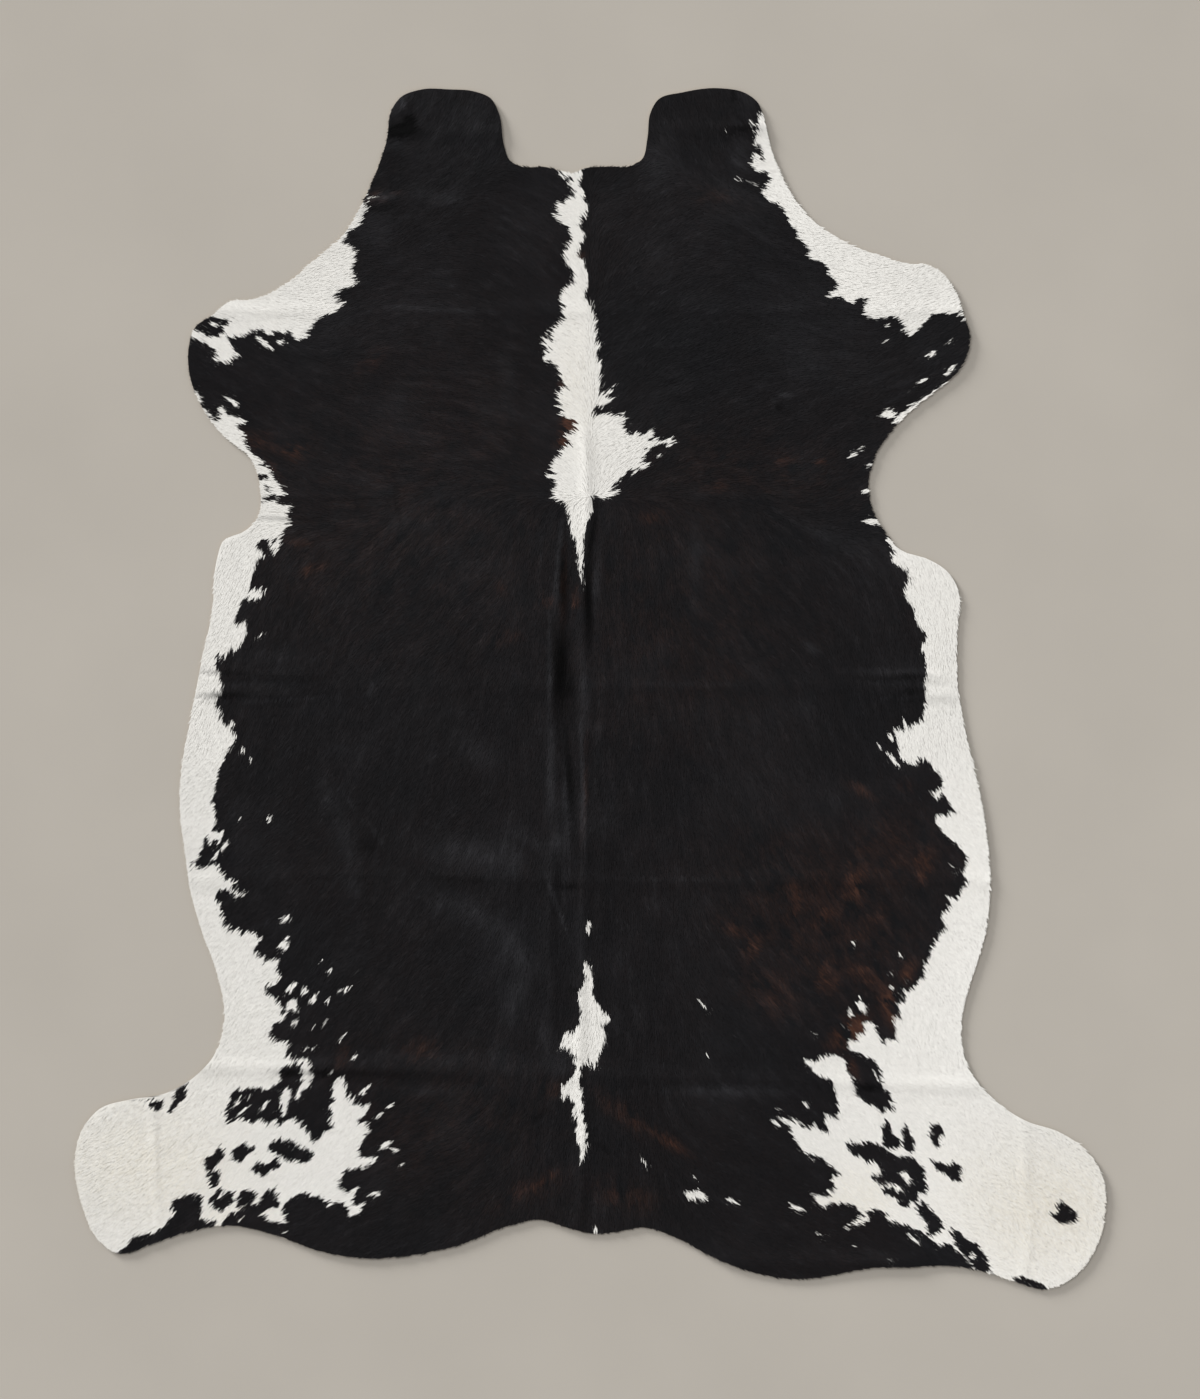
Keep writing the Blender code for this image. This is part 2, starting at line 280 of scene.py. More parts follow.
BLAZES = {
    "blaze along the spine": [
        (-57, 921), (-56, 908), (-36, 906), (-46, 890), (-36, 886), (-36, 868), (-62, 863), (-67, 850),
        (-52, 823), (-40, 820), (-36, 804), (-46, 778), (-49, 755), (-34, 742), (-35, 724), (-57, 697),
        (-52, 676), (-54, 658), (-72, 636), (-76, 622), (-93, 620), (-83, 606), (-87, 592), (-62, 569),
        (-43, 534), (-59, 524), (-53, 505), (-55, 487), (-28, 475), (-32, 460), (-52, 447), (-36, 438),
        (-66, 403), (-79, 377), (-64, 368), (-68, 338), (-42, 322), (-45, 300), (-24, 244), (-22, 204),
        (-11, 172), (-16, 240), (-9, 290), (6, 319), (2, 333), (22, 344), (18, 330), (46, 341),
        (48, 364), (72, 389), (107, 391), (92, 405), (112, 421), (103, 429), (124, 435), (152, 433),
        (147, 443), (108, 441), (114, 465), (98, 453), (70, 450), (62, 473), (67, 490), (50, 485),
        (33, 492), (16, 485), (4, 488), (12, 502), (30, 504), (50, 517), (28, 517), (50, 540),
        (20, 523), (18, 560), (24, 574), (9, 588), (20, 608), (10, 640), (4, 684), (-12, 693),
        (-4, 740), (-13, 748), (-10, 760), (-22, 768), (-20, 780), (-8, 804), (-20, 824), (-15, 838),
        (-1, 855), (-12, 862), (-23, 900), (-14, 922), (-20, 950), (-60, 950),
    ],
    "blaze over the tail": [
        (-11, -476), (-13, -530), (-22, -547), (-16, -572), (-18, -596), (-34, -617), (-41, -609),
        (-55, -636), (-29, -658), (-31, -690), (-53, -713), (-48, -729), (-29, -730), (-25, -795),
        (-16, -851), (-6, -812), (-13, -766), (-20, -752), (-12, -748), (-20, -700), (-19, -675),
        (-5, -664), (4, -674), (14, -676), (15, -655), (28, -626), (19, -601), (37, -596), (20, -574),
        (7, -558), (0, -500),
    ],
}
BLACK_PATCHES = {
    "left foreleg": [
        (-704, 634), (-698, 646), (-686, 657), (-668, 658), (-641, 654), (-648, 643), (-667, 649),
        (-678, 647), (-652, 640), (-651, 632), (-664, 626), (-680, 626), (-692, 633),
    ],
    "left hind leg, at the edge": [
        (-840, -1000), (-824, -990), (-810, -970), (-776, -969), (-752, -950), (-735, -933),
        (-750, -925), (-740, -909), (-702, -895), (-689, -912), (-696, -938), (-684, -947),
        (-667, -940), (-670, -990), (-838, -1030),
    ],
    "left rump, at the edge": [
        (-656, -949), (-640, -931), (-620, -922), (-590, -914), (-580, -898), (-562, -886),
        (-551, -918), (-574, -922), (-587, -931), (-577, -943), (-555, -950), (-540, -948),
        (-520, -960), (-530, -990), (-656, -980),
    ],
    "left hind leg, by the hock": [
        (-796, -731), (-787, -720), (-768, -717), (-779, -727), (-783, -739), (-773, -731),
        (-762, -737), (-766, -751), (-779, -748), (-786, -732),
    ],
    "left hind leg, beside the hock": [
        (-752, -751), (-743, -738), (-740, -720), (-729, -706), (-716, -700), (-718, -727),
        (-733, -735), (-740, -750),
    ],
    "left hind leg, first outer": [
        (-685, -852), (-684, -838), (-671, -826), (-658, -816), (-652, -818), (-653, -833),
        (-662, -845), (-673, -855),
    ],
    "left hind leg, second outer": [
        (-682, -864), (-678, -858), (-665, -857), (-660, -864), (-664, -888), (-674, -885),
    ],
    "left hind leg, third outer": [
        (-640, -835), (-636, -822), (-627, -814), (-615, -807), (-609, -815), (-594, -815),
        (-603, -827), (-622, -841),
    ],
    "left hind leg, upper inner": [
        (-575, -815), (-565, -804), (-550, -800), (-530, -805), (-533, -814), (-521, -814),
        (-494, -827), (-500, -839), (-528, -841), (-551, -837), (-549, -827), (-562, -826),
    ],
    "left hind leg, lower inner": [
        (-605, -855), (-597, -842), (-585, -840), (-577, -848), (-559, -832), (-552, -850),
        (-568, -851), (-577, -866), (-592, -859),
    ],
    "left hind leg, lower outer": [
        (-678, -908), (-665, -892), (-655, -890), (-650, -898), (-638, -889), (-634, -908),
        (-654, -927), (-669, -921),
    ],
    "left hind leg, lowest": [
        (-627, -918), (-623, -894), (-611, -890), (-598, -895), (-596, -906), (-612, -922),
    ],
    "right shoulder": [(299, 963), (307, 950), (309, 930), (296, 950)],
    "right hind leg, upper": [
        (517, -776), (526, -768), (533, -774), (533, -786), (551, -803), (548, -816), (534, -820),
        (521, -811),
    ],
    "right hind leg, beside it": [
        (551, -783), (562, -776), (569, -789), (578, -806), (573, -824), (558, -819), (553, -808),
        (556, -796),
    ],
    "right hind leg, middle": [
        (454, -810), (470, -808), (481, -812), (493, -803), (515, -812), (539, -830), (577, -836),
        (591, -850), (597, -882), (598, -898), (581, -894), (583, -910), (572, -912), (562, -924),
        (550, -916), (546, -903), (524, -901), (517, -886), (530, -883), (512, -878), (499, -868),
        (520, -861), (509, -841), (494, -842), (480, -830), (466, -829),
    ],
    "right hind leg, lower": [
        (579, -921), (589, -911), (598, -912), (604, -926), (622, -941), (629, -955), (613, -971),
        (601, -970), (598, -950), (588, -936),
    ],
    "right hind leg, small": [
        (599, -790), (606, -789), (605, -774), (613, -771), (626, -782), (627, -794), (620, -795),
        (622, -810), (612, -812),
    ],
    "right hind leg, outer": [
        (606, -837), (615, -843), (624, -841), (637, -847), (648, -840), (660, -853), (657, -872),
        (640, -871), (628, -860), (616, -856),
    ],
    "right hind leg, tip": [
        (817, -933), (829, -930), (831, -914), (838, -911), (864, -932), (865, -946), (843, -951),
        (829, -944),
    ],
    "right hind leg, edge of the tip": [
        (753, -1044), (780, -1049), (809, -1061), (800, -1080), (753, -1068),
    ],
    "right hind leg, at the edge": [
        (643, -964), (656, -961), (668, -976), (688, -985), (700, -1004), (714, -1035), (688, -1034),
        (667, -1008), (652, -990),
    ],
}
# Small white places, which show on the black and on the black patches alike.
WHITE_HOLES = [
    [(-549, -714), (-536, -708), (-531, -718), (-538, -740), (-543, -762), (-553, -750)],
    [(-546, -541), (-538, -528), (-523, -528), (-532, -543)],
    [(-516, -540), (-508, -530), (-500, -538), (-510, -547)],
    [(-499, -560), (-492, -542), (-485, -542), (-490, -559)],
    [(-554, -457), (-536, -440), (-538, -464), (-546, -468)],
    [(-553, -420), (-546, -406), (-530, -411)],
    [(600, 592), (610, 600), (617, 589)],
    [(562, 522), (572, 535), (578, 535)],
    [(517, 484), (531, 498), (546, 488), (537, 476)],
    [(461, 408), (469, 426), (474, 413)],
    [(-376, -820), (-370, -806), (-354, -802), (-362, -815)],
    [(471, -556), (482, -554), (492, -571), (484, -579)],
    [(550, -858), (563, -858), (573, -879), (561, -880)],
    [(519, -885), (537, -886), (552, -893), (560, -896), (547, -884), (528, -880)],
    [(675, -1003), (686, -1004), (684, -1012), (674, -1010)],
    [(166, -890), (198, -893), (213, -905), (178, -910)],
    [(354, -912), (387, -926), (360, -926)],
]
# Columns: x, y, length, width and turn of a small white fleck, in millimetres and degrees.
WHITE_FLECKS = [
    (-696, 513, 36, 7, -68), (-638, 510, 26, 9, -42), (-669, 645, 17, 5, -20), (-579, 612, 30, 8, -38),
    (-549, 615, 13, 8, 30), (-586, 90, 11, 7, 10), (-668, -300, 20, 5, 50), (-650, -281, 26, 6, 48),
    (-617, -115, 8, 7, 0), (-602, -131, 6, 5, 0), (-571, -233, 10, 8, 30), (-625, -235, 9, 4, 60),
    (-466, -554, 9, 7, 60), (-440, -538, 28, 5, 8), (-463, -502, 9, 7, 50), (-478, -486, 6, 4, 0),
    (-420, -508, 6, 3, 40), (-526, -595, 14, 7, 75), (-507, -640, 13, 6, 70), (-461, -684, 8, 6, 60),
    (-443, -623, 14, 4, 60), (-421, -655, 16, 5, 58), (-475, -596, 22, 3, 62), (-352, -817, 20, 4, -20),
    (-512, -526, 4, 3, 0), (-505, -640, 6, 4, 0), (-492, -642, 6, 4, 60), (-496, -604, 14, 2.5, 20),
    (-384, -898, 20, 8, -10), (-407, -915, 10, 9, 0), (-465, -916, 9, 5, 0), (-337, -844, 10, 4, 0),
    (-404, -717, 29, 7, 40), (-357, -740, 17, 4, 55), (-378, -758, 9, 5, 70), (635, 612, 11, 5, 40),
    (639, 566, 26, 7, 46), (591, 546, 19, 5, 22), (483, 425, 13, 5, 60), (525, 616, 7, 5, 0),
    (527, 642, 7, 4, 0), (495, 394, 13, 4, 40), (492, 352, 9, 5, 80), (80, 384, 14, 6, 20),
    (125, 413, 9, 6, 20), (538, -130, 38, 6, -50), (532, -90, 16, 5, -38), (513, -107, 8, 3, -40),
    (648, -323, 15, 4, -12), (463, -580, 11, 8, 60), (463, -560, 6, 4, 0), (454, -602, 7, 5, 0),
    (550, -475, 8, 8, 0), (467, -455, 9, 5, 0), (533, -508, 8, 4, 0), (555, -522, 12, 4, 28),
    (398, -616, 9, 3, 70), (385, -740, 14, 5, 80), (333, -748, 5, 5, 0), (252, -909, 27, 5, -26),
    (455, -953, 12, 8, 0), (475, -990, 11, 4, 0), (535, -1015, 11, 5, -10), (395, -838, 6, 6, 0),
    (10, -962, 9, 8, 0), (-4, -428, 22, 8, 88), (576, -978, 32, 5, -42), (534, -882, 44, 4, -30),
    (188, -870, 9, 3, -30), (212, -655, 8, 3, 70), (203, -565, 26, 3, -40), (95, -842, 30, 3, -50),
    (-628, -736, 30, 4, 55), (-580, -741, 18, 5, 60), (-607, -725, 12, 4, 50), (-618, -752, 24, 4, 35),
    (-658, -900, 16, 4, 50), (-621, -922, 16, 4, 25), (-622, -941, 14, 4, 25), (-545, -962, 10, 6, 20),
    (330, -772, 18, 5, -50), (457, -954, 14, 8, -40), (480, -852, 12, 3, 0), (509, -690, 26, 3, -60),
    (410, -969, 16, 4, -20), (473, -989, 12, 5, -30), (530, -1013, 12, 5, -30), (618, -978, 22, 4, -50),
    (242, 987, 18, 3, 88), (288, 997, 16, 3, 5), (263, 899, 18, 2.5, 20), (291, 893, 30, 2.5, -25),
    (-388, 868, 14, 2.5, 8), (530, -508, 8, 4, -30), (556, -521, 14, 6, 20), (540, -536, 14, 4, -20),
]

# The same columns for small black flecks in the white.
BLACK_FLECKS = [
    (-582, 396, 11, 6, 10), (-582, 374, 16, 11, 10), (-573, 354, 15, 7, 25), (-570, 337, 26, 9, 30),
    (-562, 259, 13, 5, 55), (-658, -55, 12, 5, 85), (-635, -76, 10, 5, 75), (-43, 904, 17, 9, 0),
    (-43, 886, 15, 9, 0), (14, 334, 26, 14, -40),
]

# Soft patches where the black is faded to brown. Columns: x, y, half length, half width, turn in
# degrees, and how much at the most. Over 1, a patch holds its full tint over a wide middle.
BROWN_PATCHES = [
    (592, -316, 38, 16, 85, 0.5), (470, -348, 46, 20, 80, 0.65), (365, -378, 28, 16, 80, 0.5),
    (412, -415, 34, 20, 70, 0.45), (255, -428, 26, 12, -25, 0.4), (290, -462, 26, 14, 60, 0.4),
    (500, -405, 50, 30, 0, 0.22), (425, -513, 28, 20, 70, 0.5), (492, -512, 34, 16, -25, 0.62),
    (533, -562, 38, 14, -70, 1.5), (462, -610, 32, 16, 45, 1.5), (566, -505, 22, 12, 60, 0.6),
    (464, -668, 20, 8, -60, 0.5), (330, -545, 60, 36, -30, 0.22), (540, -300, 90, 70, 0, 0.14),
    (489, -187, 36, 10, -30, 0.22), (563, -176, 12, 9, 0, 0.3), (430, -420, 170, 110, -40, 0.18),
    (132, -800, 46, 9, -33, 0.6), (60, -758, 50, 16, -40, 0.3), (-110, -893, 66, 20, 25, 0.2),
    (-85, -880, 30, 10, 35, 0.4), (-70, -712, 26, 14, 10, 0.3), (60, -900, 50, 24, -20, 0.25),
    (-300, -648, 32, 20, 10, 0.35), (-438, -655, 22, 12, 60, 0.28), (-525, 420, 18, 13, 0, 0.85),
    (-588, 438, 40, 16, -15, 0.35), (-562, 380, 24, 10, -60, 0.4), (-518, 255, 22, 8, -10, 0.3),
    (-497, 207, 26, 10, 20, 0.35), (-155, 84, 32, 12, 10, 0.22), (-390, 580, 30, 14, 40, 0.22),
    (-160, 172, 24, 12, 90, 0.12), (-73, 150, 20, 12, 0, 0.35), (-27, 150, 30, 7, 90, 0.25),
    (-48, 180, 60, 7, 90, 0.3), (-10, -200, 90, 5, 88, 0.2), (118, 298, 28, 16, 0, 0.2),
    (222, 355, 22, 12, 0, 0.25), (352, 400, 24, 14, 0, 0.25), (412, 402, 10, 6, 0, 0.4),
    (300, 390, 200, 70, -10, 0.08), (-330, 300, 240, 240, 0, 0.07), (160, 120, 220, 220, 0, 0.06),
    (-260, -760, 200, 140, 0, 0.06), (-40, 470, 17, 11, 70, 1.6), (-50, 440, 16, 6, 30, 1.0),
    (-18, 770, 8, 5, 30, 0.6), (-48, 545, 12, 5, 50, 0.6), (-376, 868, 22, 8, 10, 0.4),
    (-352, 874, 14, 5, 0, 0.3), (230, 868, 44, 14, -12, 0.12),
]
# Where the white is yellowed to cream.
CREAM_PATCHES = [
    (-790, -850, 150, 110, 0, 0.45), (810, -920, 150, 110, 0, 0.55), (-640, -940, 90, 40, 0, 0.3),
    (480, -900, 90, 60, 0, 0.3), (-30, 560, 40, 120, 0, 0.2),
]
# Painted sheen: patches where black hair's colour is mixed toward a paler grey, where it lies at a slant
# and shines, and along the lit sides of folds.
PAINTED_SHEEN_PATCHES = [
    (-250, 990, 100, 80, 0, 0.2), (-350, 1030, 22, 14, 60, 0.3), (-464, -205, 40, 16, -70, 0.2),
    (-440, -268, 70, 17, -75, 0.35), (-424, -346, 26, 15, -70, 0.35), (-423, -210, 26, 3, -55, 0.4),
    (-376, -268, 28, 4, -58, 0.3), (-195, -118, 44, 26, -35, 0.32), (-215, -295, 90, 26, -8, 0.3),
    (-145, -300, 32, 28, -50, 0.32), (-222, -398, 90, 22, -25, 0.32), (-146, -460, 60, 26, -50, 0.42),
    (-130, -548, 54, 20, 68, 0.34), (-73, -636, 54, 22, -70, 0.24), (-100, -276, 56, 16, -30, 0.22),
    (-550, 52, 60, 16, 0, 0.2), (-540, -24, 110, 3, 3, 0.35), (-600, 4, 80, 5, 0, 0.25),
    (-390, -6, 16, 5, 70, 0.4), (545, 4, 50, 4, 0, 0.3), (545, -21, 40, 3, 0, 0.3),
    (520, 27, 70, 5, 0, 0.22), (180, 4, 100, 4, 0, 0.15), (396, 66, 14, 8, -40, 0.4),
    (170, -342, 120, 4, 0, 0.2), (-340, -658, 160, 13, 0, 0.25), (-300, -715, 80, 10, 0, 0.2),
    (240, -716, 110, 10, 0, 0.3), (-275, 868, 46, 12, -10, 0.35), (-390, 808, 34, 28, 20, 0.3),
    (-300, 672, 150, 5, -2, 0.25), (-345, 958, 30, 9, 5, 0.35), (-334, 1032, 17, 4, -63, 0.7),
    (272, 942, 36, 18, 85, 0.45), (276, 1036, 26, 14, 90, 0.3), (250, 880, 34, 20, -20, 0.15),
    (192, 775, 26, 12, 0, 0.2), (345, 520, 22, 5, 0, 0.3), (328, 505, 5, 16, 0, 0.3),
    (-72, 20, 90, 5, 90, 0.6), (-56, 226, 66, 5, 86, 0.85), (-70, -150, 100, 9, 90, 0.42),
    (-60, -275, 40, 14, 80, 0.5), (-42, -222, 110, 3, 93, 0.4), (-10, 2, 66, 12, 90, 0.36),
    (-14, -195, 150, 3.5, 90, 0.45), (9, 178, 62, 3, 90, 0.6), (-58, -390, 60, 4, 110, 0.4),
    (12, 188, 48, 7, 86, 0.42), (-12, -190, 150, 4, 92, 0.42), (-46, -215, 115, 4, 90, 0.38),
    (-430, 640, 170, 90, 25, 0.12), (400, 640, 240, 140, -15, 0.07), (-120, 800, 60, 80, 0, 0.16),
    (-150, 560, 16, 90, 0, 0.16), (260, -150, 140, 60, 60, 0.08), (500, 200, 60, 90, 0, 0.12),
    (440, 260, 60, 20, -30, 0.2), (190, 220, 10, 70, 0, 0.15), (128, 930, 30, 56, 0, 0.2),
    (-330, 300, 220, 260, 0, 0.09), (-374, 868, 24, 6, 8, 0.7), (-244, 861, 18, 4, 20, 0.4),
    (160, 700, 140, 160, 0, 0.06),
]
# Painted shade, which darkens the hair's colour: in tucks, on the shaded sides of creases, and as broad
# soft shade.
PAINTED_SHADE_PATCHES = [
    (-335, 986, 26, 12, 4, 2.0), (-323, 1001, 13, 11, -50, 1.6), (272, 986, 34, 7, 3, 0.85),
    (255, 1046, 14, 3, 88, 0.6), (-640, 24, 50, 4, -3, 0.9), (-560, 20, 80, 3, -3, 0.5),
    (-646, -14, 40, 6, 2, 1.0), (-590, -11, 60, 3, 5, 0.45), (572, 18, 30, 4, 0, 0.9),
    (500, 14, 60, 3, 0, 0.35), (575, -9, 24, 4, 0, 0.85), (-240, -340, 110, 7, -3, 0.45),
    (-440, -338, 150, 6, 0, 0.3), (-394, -284, 26, 18, 0, 0.35), (-532, -683, 24, 7, 0, 0.95),
    (-476, -684, 30, 7, 0, 0.95), (-400, -685, 90, 6, 0, 0.5), (496, -709, 22, 6, 0, 0.9),
    (-54, 34, 84, 18, 92, 1.15), (-40, 0, 34, 15, 80, 0.8), (-48, 178, 80, 9, 92, 0.9),
    (-4, 155, 80, 9, 92, 1.0), (2, 262, 60, 6, 80, 0.8), (-37, -157, 105, 7, 95, 0.75),
    (-38, -354, 20, 5, 0, 0.85), (-29, -537, 14, 5, -10, 0.75), (338, 498, 9, 7, 0, 0.7),
    (-345, 330, 4, 50, 8, 0.35), (545, 16, 60, 3, 2, 0.5), (560, -12, 50, 3, 4, 0.5),
    (-420, 336, 120, 4, 0, 0.35), (-372, 848, 34, 8, 8, 0.5), (-350, 905, 40, 30, 60, 0.2),
    (-300, -660, 14, 10, 0, 0.2), (-540, 300, 60, 4, 0, 0.4), (-90, -760, 26, 4, 35, 0.5),
    (25, -820, 20, 4, -30, 0.5), (-768, -820, 80, 3, 90, 0.12), (772, -900, 110, 3, 90, 0.12),
    (200, -800, 260, 200, 0, 0.1), (150, 60, 90, 260, 0, 0.06), (830, -880, 150, 150, 0, 0.09),
    (660, 20, 70, 220, 0, 0.07), (-540, 660, 20, 3, 0, 0.1),
]

# The lie of the hair on the right half, and mirrored on the left. Columns: x, y, and the way the
# hair points there: away from the spine, and towards the neck.
LIE_OF_HAIR = [
    (200, 1030, 0.40, -0.90), (330, 900, 0.80, -0.50), (430, 690, 0.88, -0.25), (45, 860, 0.80, 0.45),
    (40, 640, 0.85, 0.50), (40, 450, 0.85, 0.40), (200, 560, 0.95, 0.20), (600, 600, 0.88, 0.45),
    (480, 430, 0.85, 0.30), (30, 200, 0.20, -0.95), (25, -200, 0.15, -0.97), (280, 180, 0.60, -0.70),
    (600, 120, 0.35, -0.93), (560, -60, 0.35, -0.93), (300, -200, 0.45, -0.88), (620, -230, 0.65, -0.75),
    (560, -450, 0.60, -0.80), (320, -560, 0.65, -0.75), (500, -680, 0.65, -0.75), (660, -850, 0.70, -0.70),
    (850, -900, 0.75, -0.65), (280, -840, 0.85, -0.50), (430, -1000, 0.85, -0.50), (30, -600, 0.15, -0.98),
    (20, -880, 0.20, -0.97),
]
LIE_SPREAD = 30 * MM  # nearer than about this, a charted place counts for no more

# The noises that vary the rug, each the sum of its rows. Columns: weight, pitch in millimetres,
# seed, and whether it is drawn out along the lie of the hair.
NOISES = {
    "rim": [(0.4, 150, 41, False)],  # the curl of the rim
    "cloud": [(1.0, 90, 11, False), (0.6, 35, 12, False)],  # tone and sheen, in broad clouds
    "wisp": [(1.0, 9, 17, True), (0.6, 4, 18, True)],  # tone, sheen and fading, in streaks
    "drift": [(1.0, 160, 13, False), (0.5, 24, 14, False)],  # fading, faint and all over
    "blotch": [(0.6, 22, 15, False), (0.4, 7, 16, False)],  # fading, within the brown patches
    "turn": [(9, 60, 21, False), (7, 14, 22, False)],  # degrees that neighbouring locks turn by
    "ragged": [(1.0, 5, 23, False)],  # how far tips pass the rug's edge
    "clump": [(1.0, 3.2, 24, True), (0.5, 14, 25, False)],  # the colours' teeth, along the hair
    "lobe_x": [(0.5, 10, 27, False), (0.6, 4.5, 28, False)],  # the same, from left to right
    "lobe_y": [(0.5, 10, 29, False), (0.6, 4.5, 30, False)],  # and from rump to neck
    "bend": [(6, 25, 26, False)],  # degrees that neighbouring locks bend by
}

# ---------------------------------------------------------------- rasters and noise
FIELD_PITCH = 1.5 * MM  # a cell of the rasters that hold the outline and the markings
FIELD_MARGIN = 60 * MM  # how far the rasters reach past the CAD model's box
EDGE_SOFTNESS = 5  # cells over which the raster of the outline fades, on either side of the edge
FIELD_LEFT, FIELD_BOTTOM = cad_low.x - FIELD_MARGIN, cad_low.y - FIELD_MARGIN
FIELD_SHAPE = (
    math.ceil((cad_high.y - cad_low.y + 2 * FIELD_MARGIN) / FIELD_PITCH),
    math.ceil((cad_high.x - cad_low.x + 2 * FIELD_MARGIN) / FIELD_PITCH),
)


def outline_points():
    """The rug's edge as one closed smooth curve through every place in OUTLINE, centred on its box.

    Between two places it is a cubic whose slope at each end points from the place before
    to the place after, shared out by the distances between them.
    """
    knots = np.array(OUTLINE_PLACES, float) * MM
    before, after = np.roll(knots, 1, axis=0), np.roll(knots, -1, axis=0)
    reach_in = np.linalg.norm(knots - before, axis=1)[:, None]
    reach_out = np.linalg.norm(after - knots, axis=1)[:, None]
    heading = (knots - before) / reach_in * reach_out + (after - knots) / reach_out * reach_in
    heading /= reach_in + reach_out
    t = np.linspace(0, 1, STEPS_PER_SPAN, endpoint=False)[None, :, None]
    start, end = knots[:, None], after[:, None]
    leave = (heading * reach_out)[:, None]
    arrive = (np.roll(heading, -1, axis=0) * reach_out)[:, None]
    curve = (
        (2 * t**3 - 3 * t**2 + 1) * start
        + (t**3 - 2 * t**2 + t) * leave
        + (3 * t**2 - 2 * t**3) * end
        + (t**3 - t**2) * arrive
    )
    edge = curve.reshape(-1, 2)
    return edge - (edge.min(axis=0) + edge.max(axis=0)) / 2


def inset_edge(edge, inset):
    """The edge moved inwards: each point goes square to the line between its two neighbours."""
    along = np.roll(edge, -1, axis=0) - np.roll(edge, 1, axis=0)
    along /= np.linalg.norm(along, axis=1)[:, None]
    inwards = np.stack([along[:, 1], -along[:, 0]], axis=1)
    return edge + inwards * inset


def along_fold(place, middle, start, end):
    """The share of its full height that a fold has along its length: it comes and goes in a slow
    wave, shifted by where the fold lies, and eases to 0 past start and end."""
    ease = np.clip(np.minimum(place - start, end - place) / FOLD_FADE + 1, 0, 1)
    wave = np.cos(2 * np.pi * (place + middle) / UNEVEN_PITCH)
    return ease * ease * (3 - 2 * ease) * (1 - UNEVEN * (1 - wave) / 2)


def relief(x, y):
    """How high the flesh side stands off the floor: rounded ridges over the folds and lifts, and a
    curl at the rim, which grows with the square of how near the edge is, and varies along it."""
    near = np.clip(2 - 2 * looked_up(RUG_RASTER, x, y), 0, 1)
    height = RIM_CURL * near**2 * (0.8 + varied("rim", x, y))
    for _, mid, slope, rise, half, start, end in CROSS_FOLDS:
        off = (y - mid * MM - slope * x) / (half * MM)
        height += rise * MM * np.exp(-(off**2)) * along_fold(x, mid * MM, start * MM, end * MM)
    for _, first, last, rise, half, start, end in LONG_FOLDS:
        along = np.clip((y / MM - start) / (end - start), 0, 1)
        stray = WAVER * (np.sin(y / LONG_WAVE + first) + 0.5 * np.sin(y / SHORT_WAVE + first)) / 1.5
        off = (x - (first + (last - first) * along) * MM - stray) / (half * MM)
        height += rise * MM * np.exp(-(off**2)) * along_fold(y, first * MM, start * MM, end * MM)
    for _, mid_x, mid_y, rise, spread in LIFTS:
        far = ((x - mid_x * MM) ** 2 + (y - mid_y * MM) ** 2) / (spread * MM) ** 2
        height += rise * MM * np.exp(-far)
    return height


def painted(rings):
    """A raster of 1 inside the rings and 0 outside, by the even-odd rule.

    Each side of a ring crosses the raster's rows at places that follow from its two ends, and a
    cell is inside where an odd number of crossings lies to its right.
    """
    crossings = np.zeros(FIELD_SHAPE, np.int32)
    row_y = FIELD_BOTTOM + (np.arange(FIELD_SHAPE[0]) + 0.5) * FIELD_PITCH
    for ring in rings:
        start = np.asarray(ring, float)
        end = np.roll(start, -1, axis=0)
        side, row = np.nonzero((start[:, 1:] <= row_y) != (end[:, 1:] <= row_y))
        share = (row_y[row] - start[side, 1]) / (end[side, 1] - start[side, 1])
        x = start[side, 0] + share * (end[side, 0] - start[side, 0])
        column = np.clip(((x - FIELD_LEFT) / FIELD_PITCH).astype(int), 0, FIELD_SHAPE[1] - 1)
        np.add.at(crossings, (row, column), 1)
    to_the_right = np.cumsum(crossings[:, ::-1], axis=1)[:, ::-1]
    return (to_the_right % 2).astype(np.float32)


def softened(field, reach):
    """The field averaged over a square that reaches so many cells to each side, axis by axis."""
    for axis in (0, 1):
        size = field.shape[axis]
        margins = [(reach + 1, reach) if side == axis else (0, 0) for side in (0, 1)]
        total = np.cumsum(np.pad(field, margins, mode="edge"), axis=axis, dtype=float)
        ahead = total.take(np.arange(size) + 2 * reach + 1, axis=axis)
        field = (ahead - total.take(np.arange(size), axis=axis)) / (2 * reach + 1)
    return field


def blended(cells, column, row, smooth=False):
    """The values at places between a grid's cells, given as columns and rows. Left and right cells are
    blended by how far the place lies to the right, and then the rows below and above by how far it
    lies up. A smooth blend leaves and reaches each cell flat."""
    j, i = column.astype(int), row.astype(int)
    right, up = column - j, row - i
    if smooth:
        right, up = right * right * (3 - 2 * right), up * up * (3 - 2 * up)
    lower = cells[i, j] * (1 - right) + cells[i, j + 1] * right
    upper = cells[i + 1, j] * (1 - right) + cells[i + 1, j + 1] * right
    return lower * (1 - up) + upper * up


def looked_up(field, x, y):
    """The raster's value at each place, blended between the four cells around it."""
    top, right = (cells - 1.001 for cells in FIELD_SHAPE)  # just short of the last cell's middle
    column = np.clip((x - FIELD_LEFT) / FIELD_PITCH - 0.5, 0, right)
    row = np.clip((y - FIELD_BOTTOM) / FIELD_PITCH - 0.5, 0, top)
    return blended(field, column, row)


def noise(x, y, pitch, seed):
    """Smooth noise from -1 to 1: random heights on a square lattice of that pitch, blended smoothly."""
    size = [math.ceil(cells * FIELD_PITCH / pitch) + 3 for cells in FIELD_SHAPE]
    lattice = np.random.default_rng(seed).uniform(-1, 1, size)
    column = np.clip((x - FIELD_LEFT) / pitch, 0, size[1] - 2)
    row = np.clip((y - FIELD_BOTTOM) / pitch, 0, size[0] - 2)
    return blended(lattice, column, row, smooth=True)


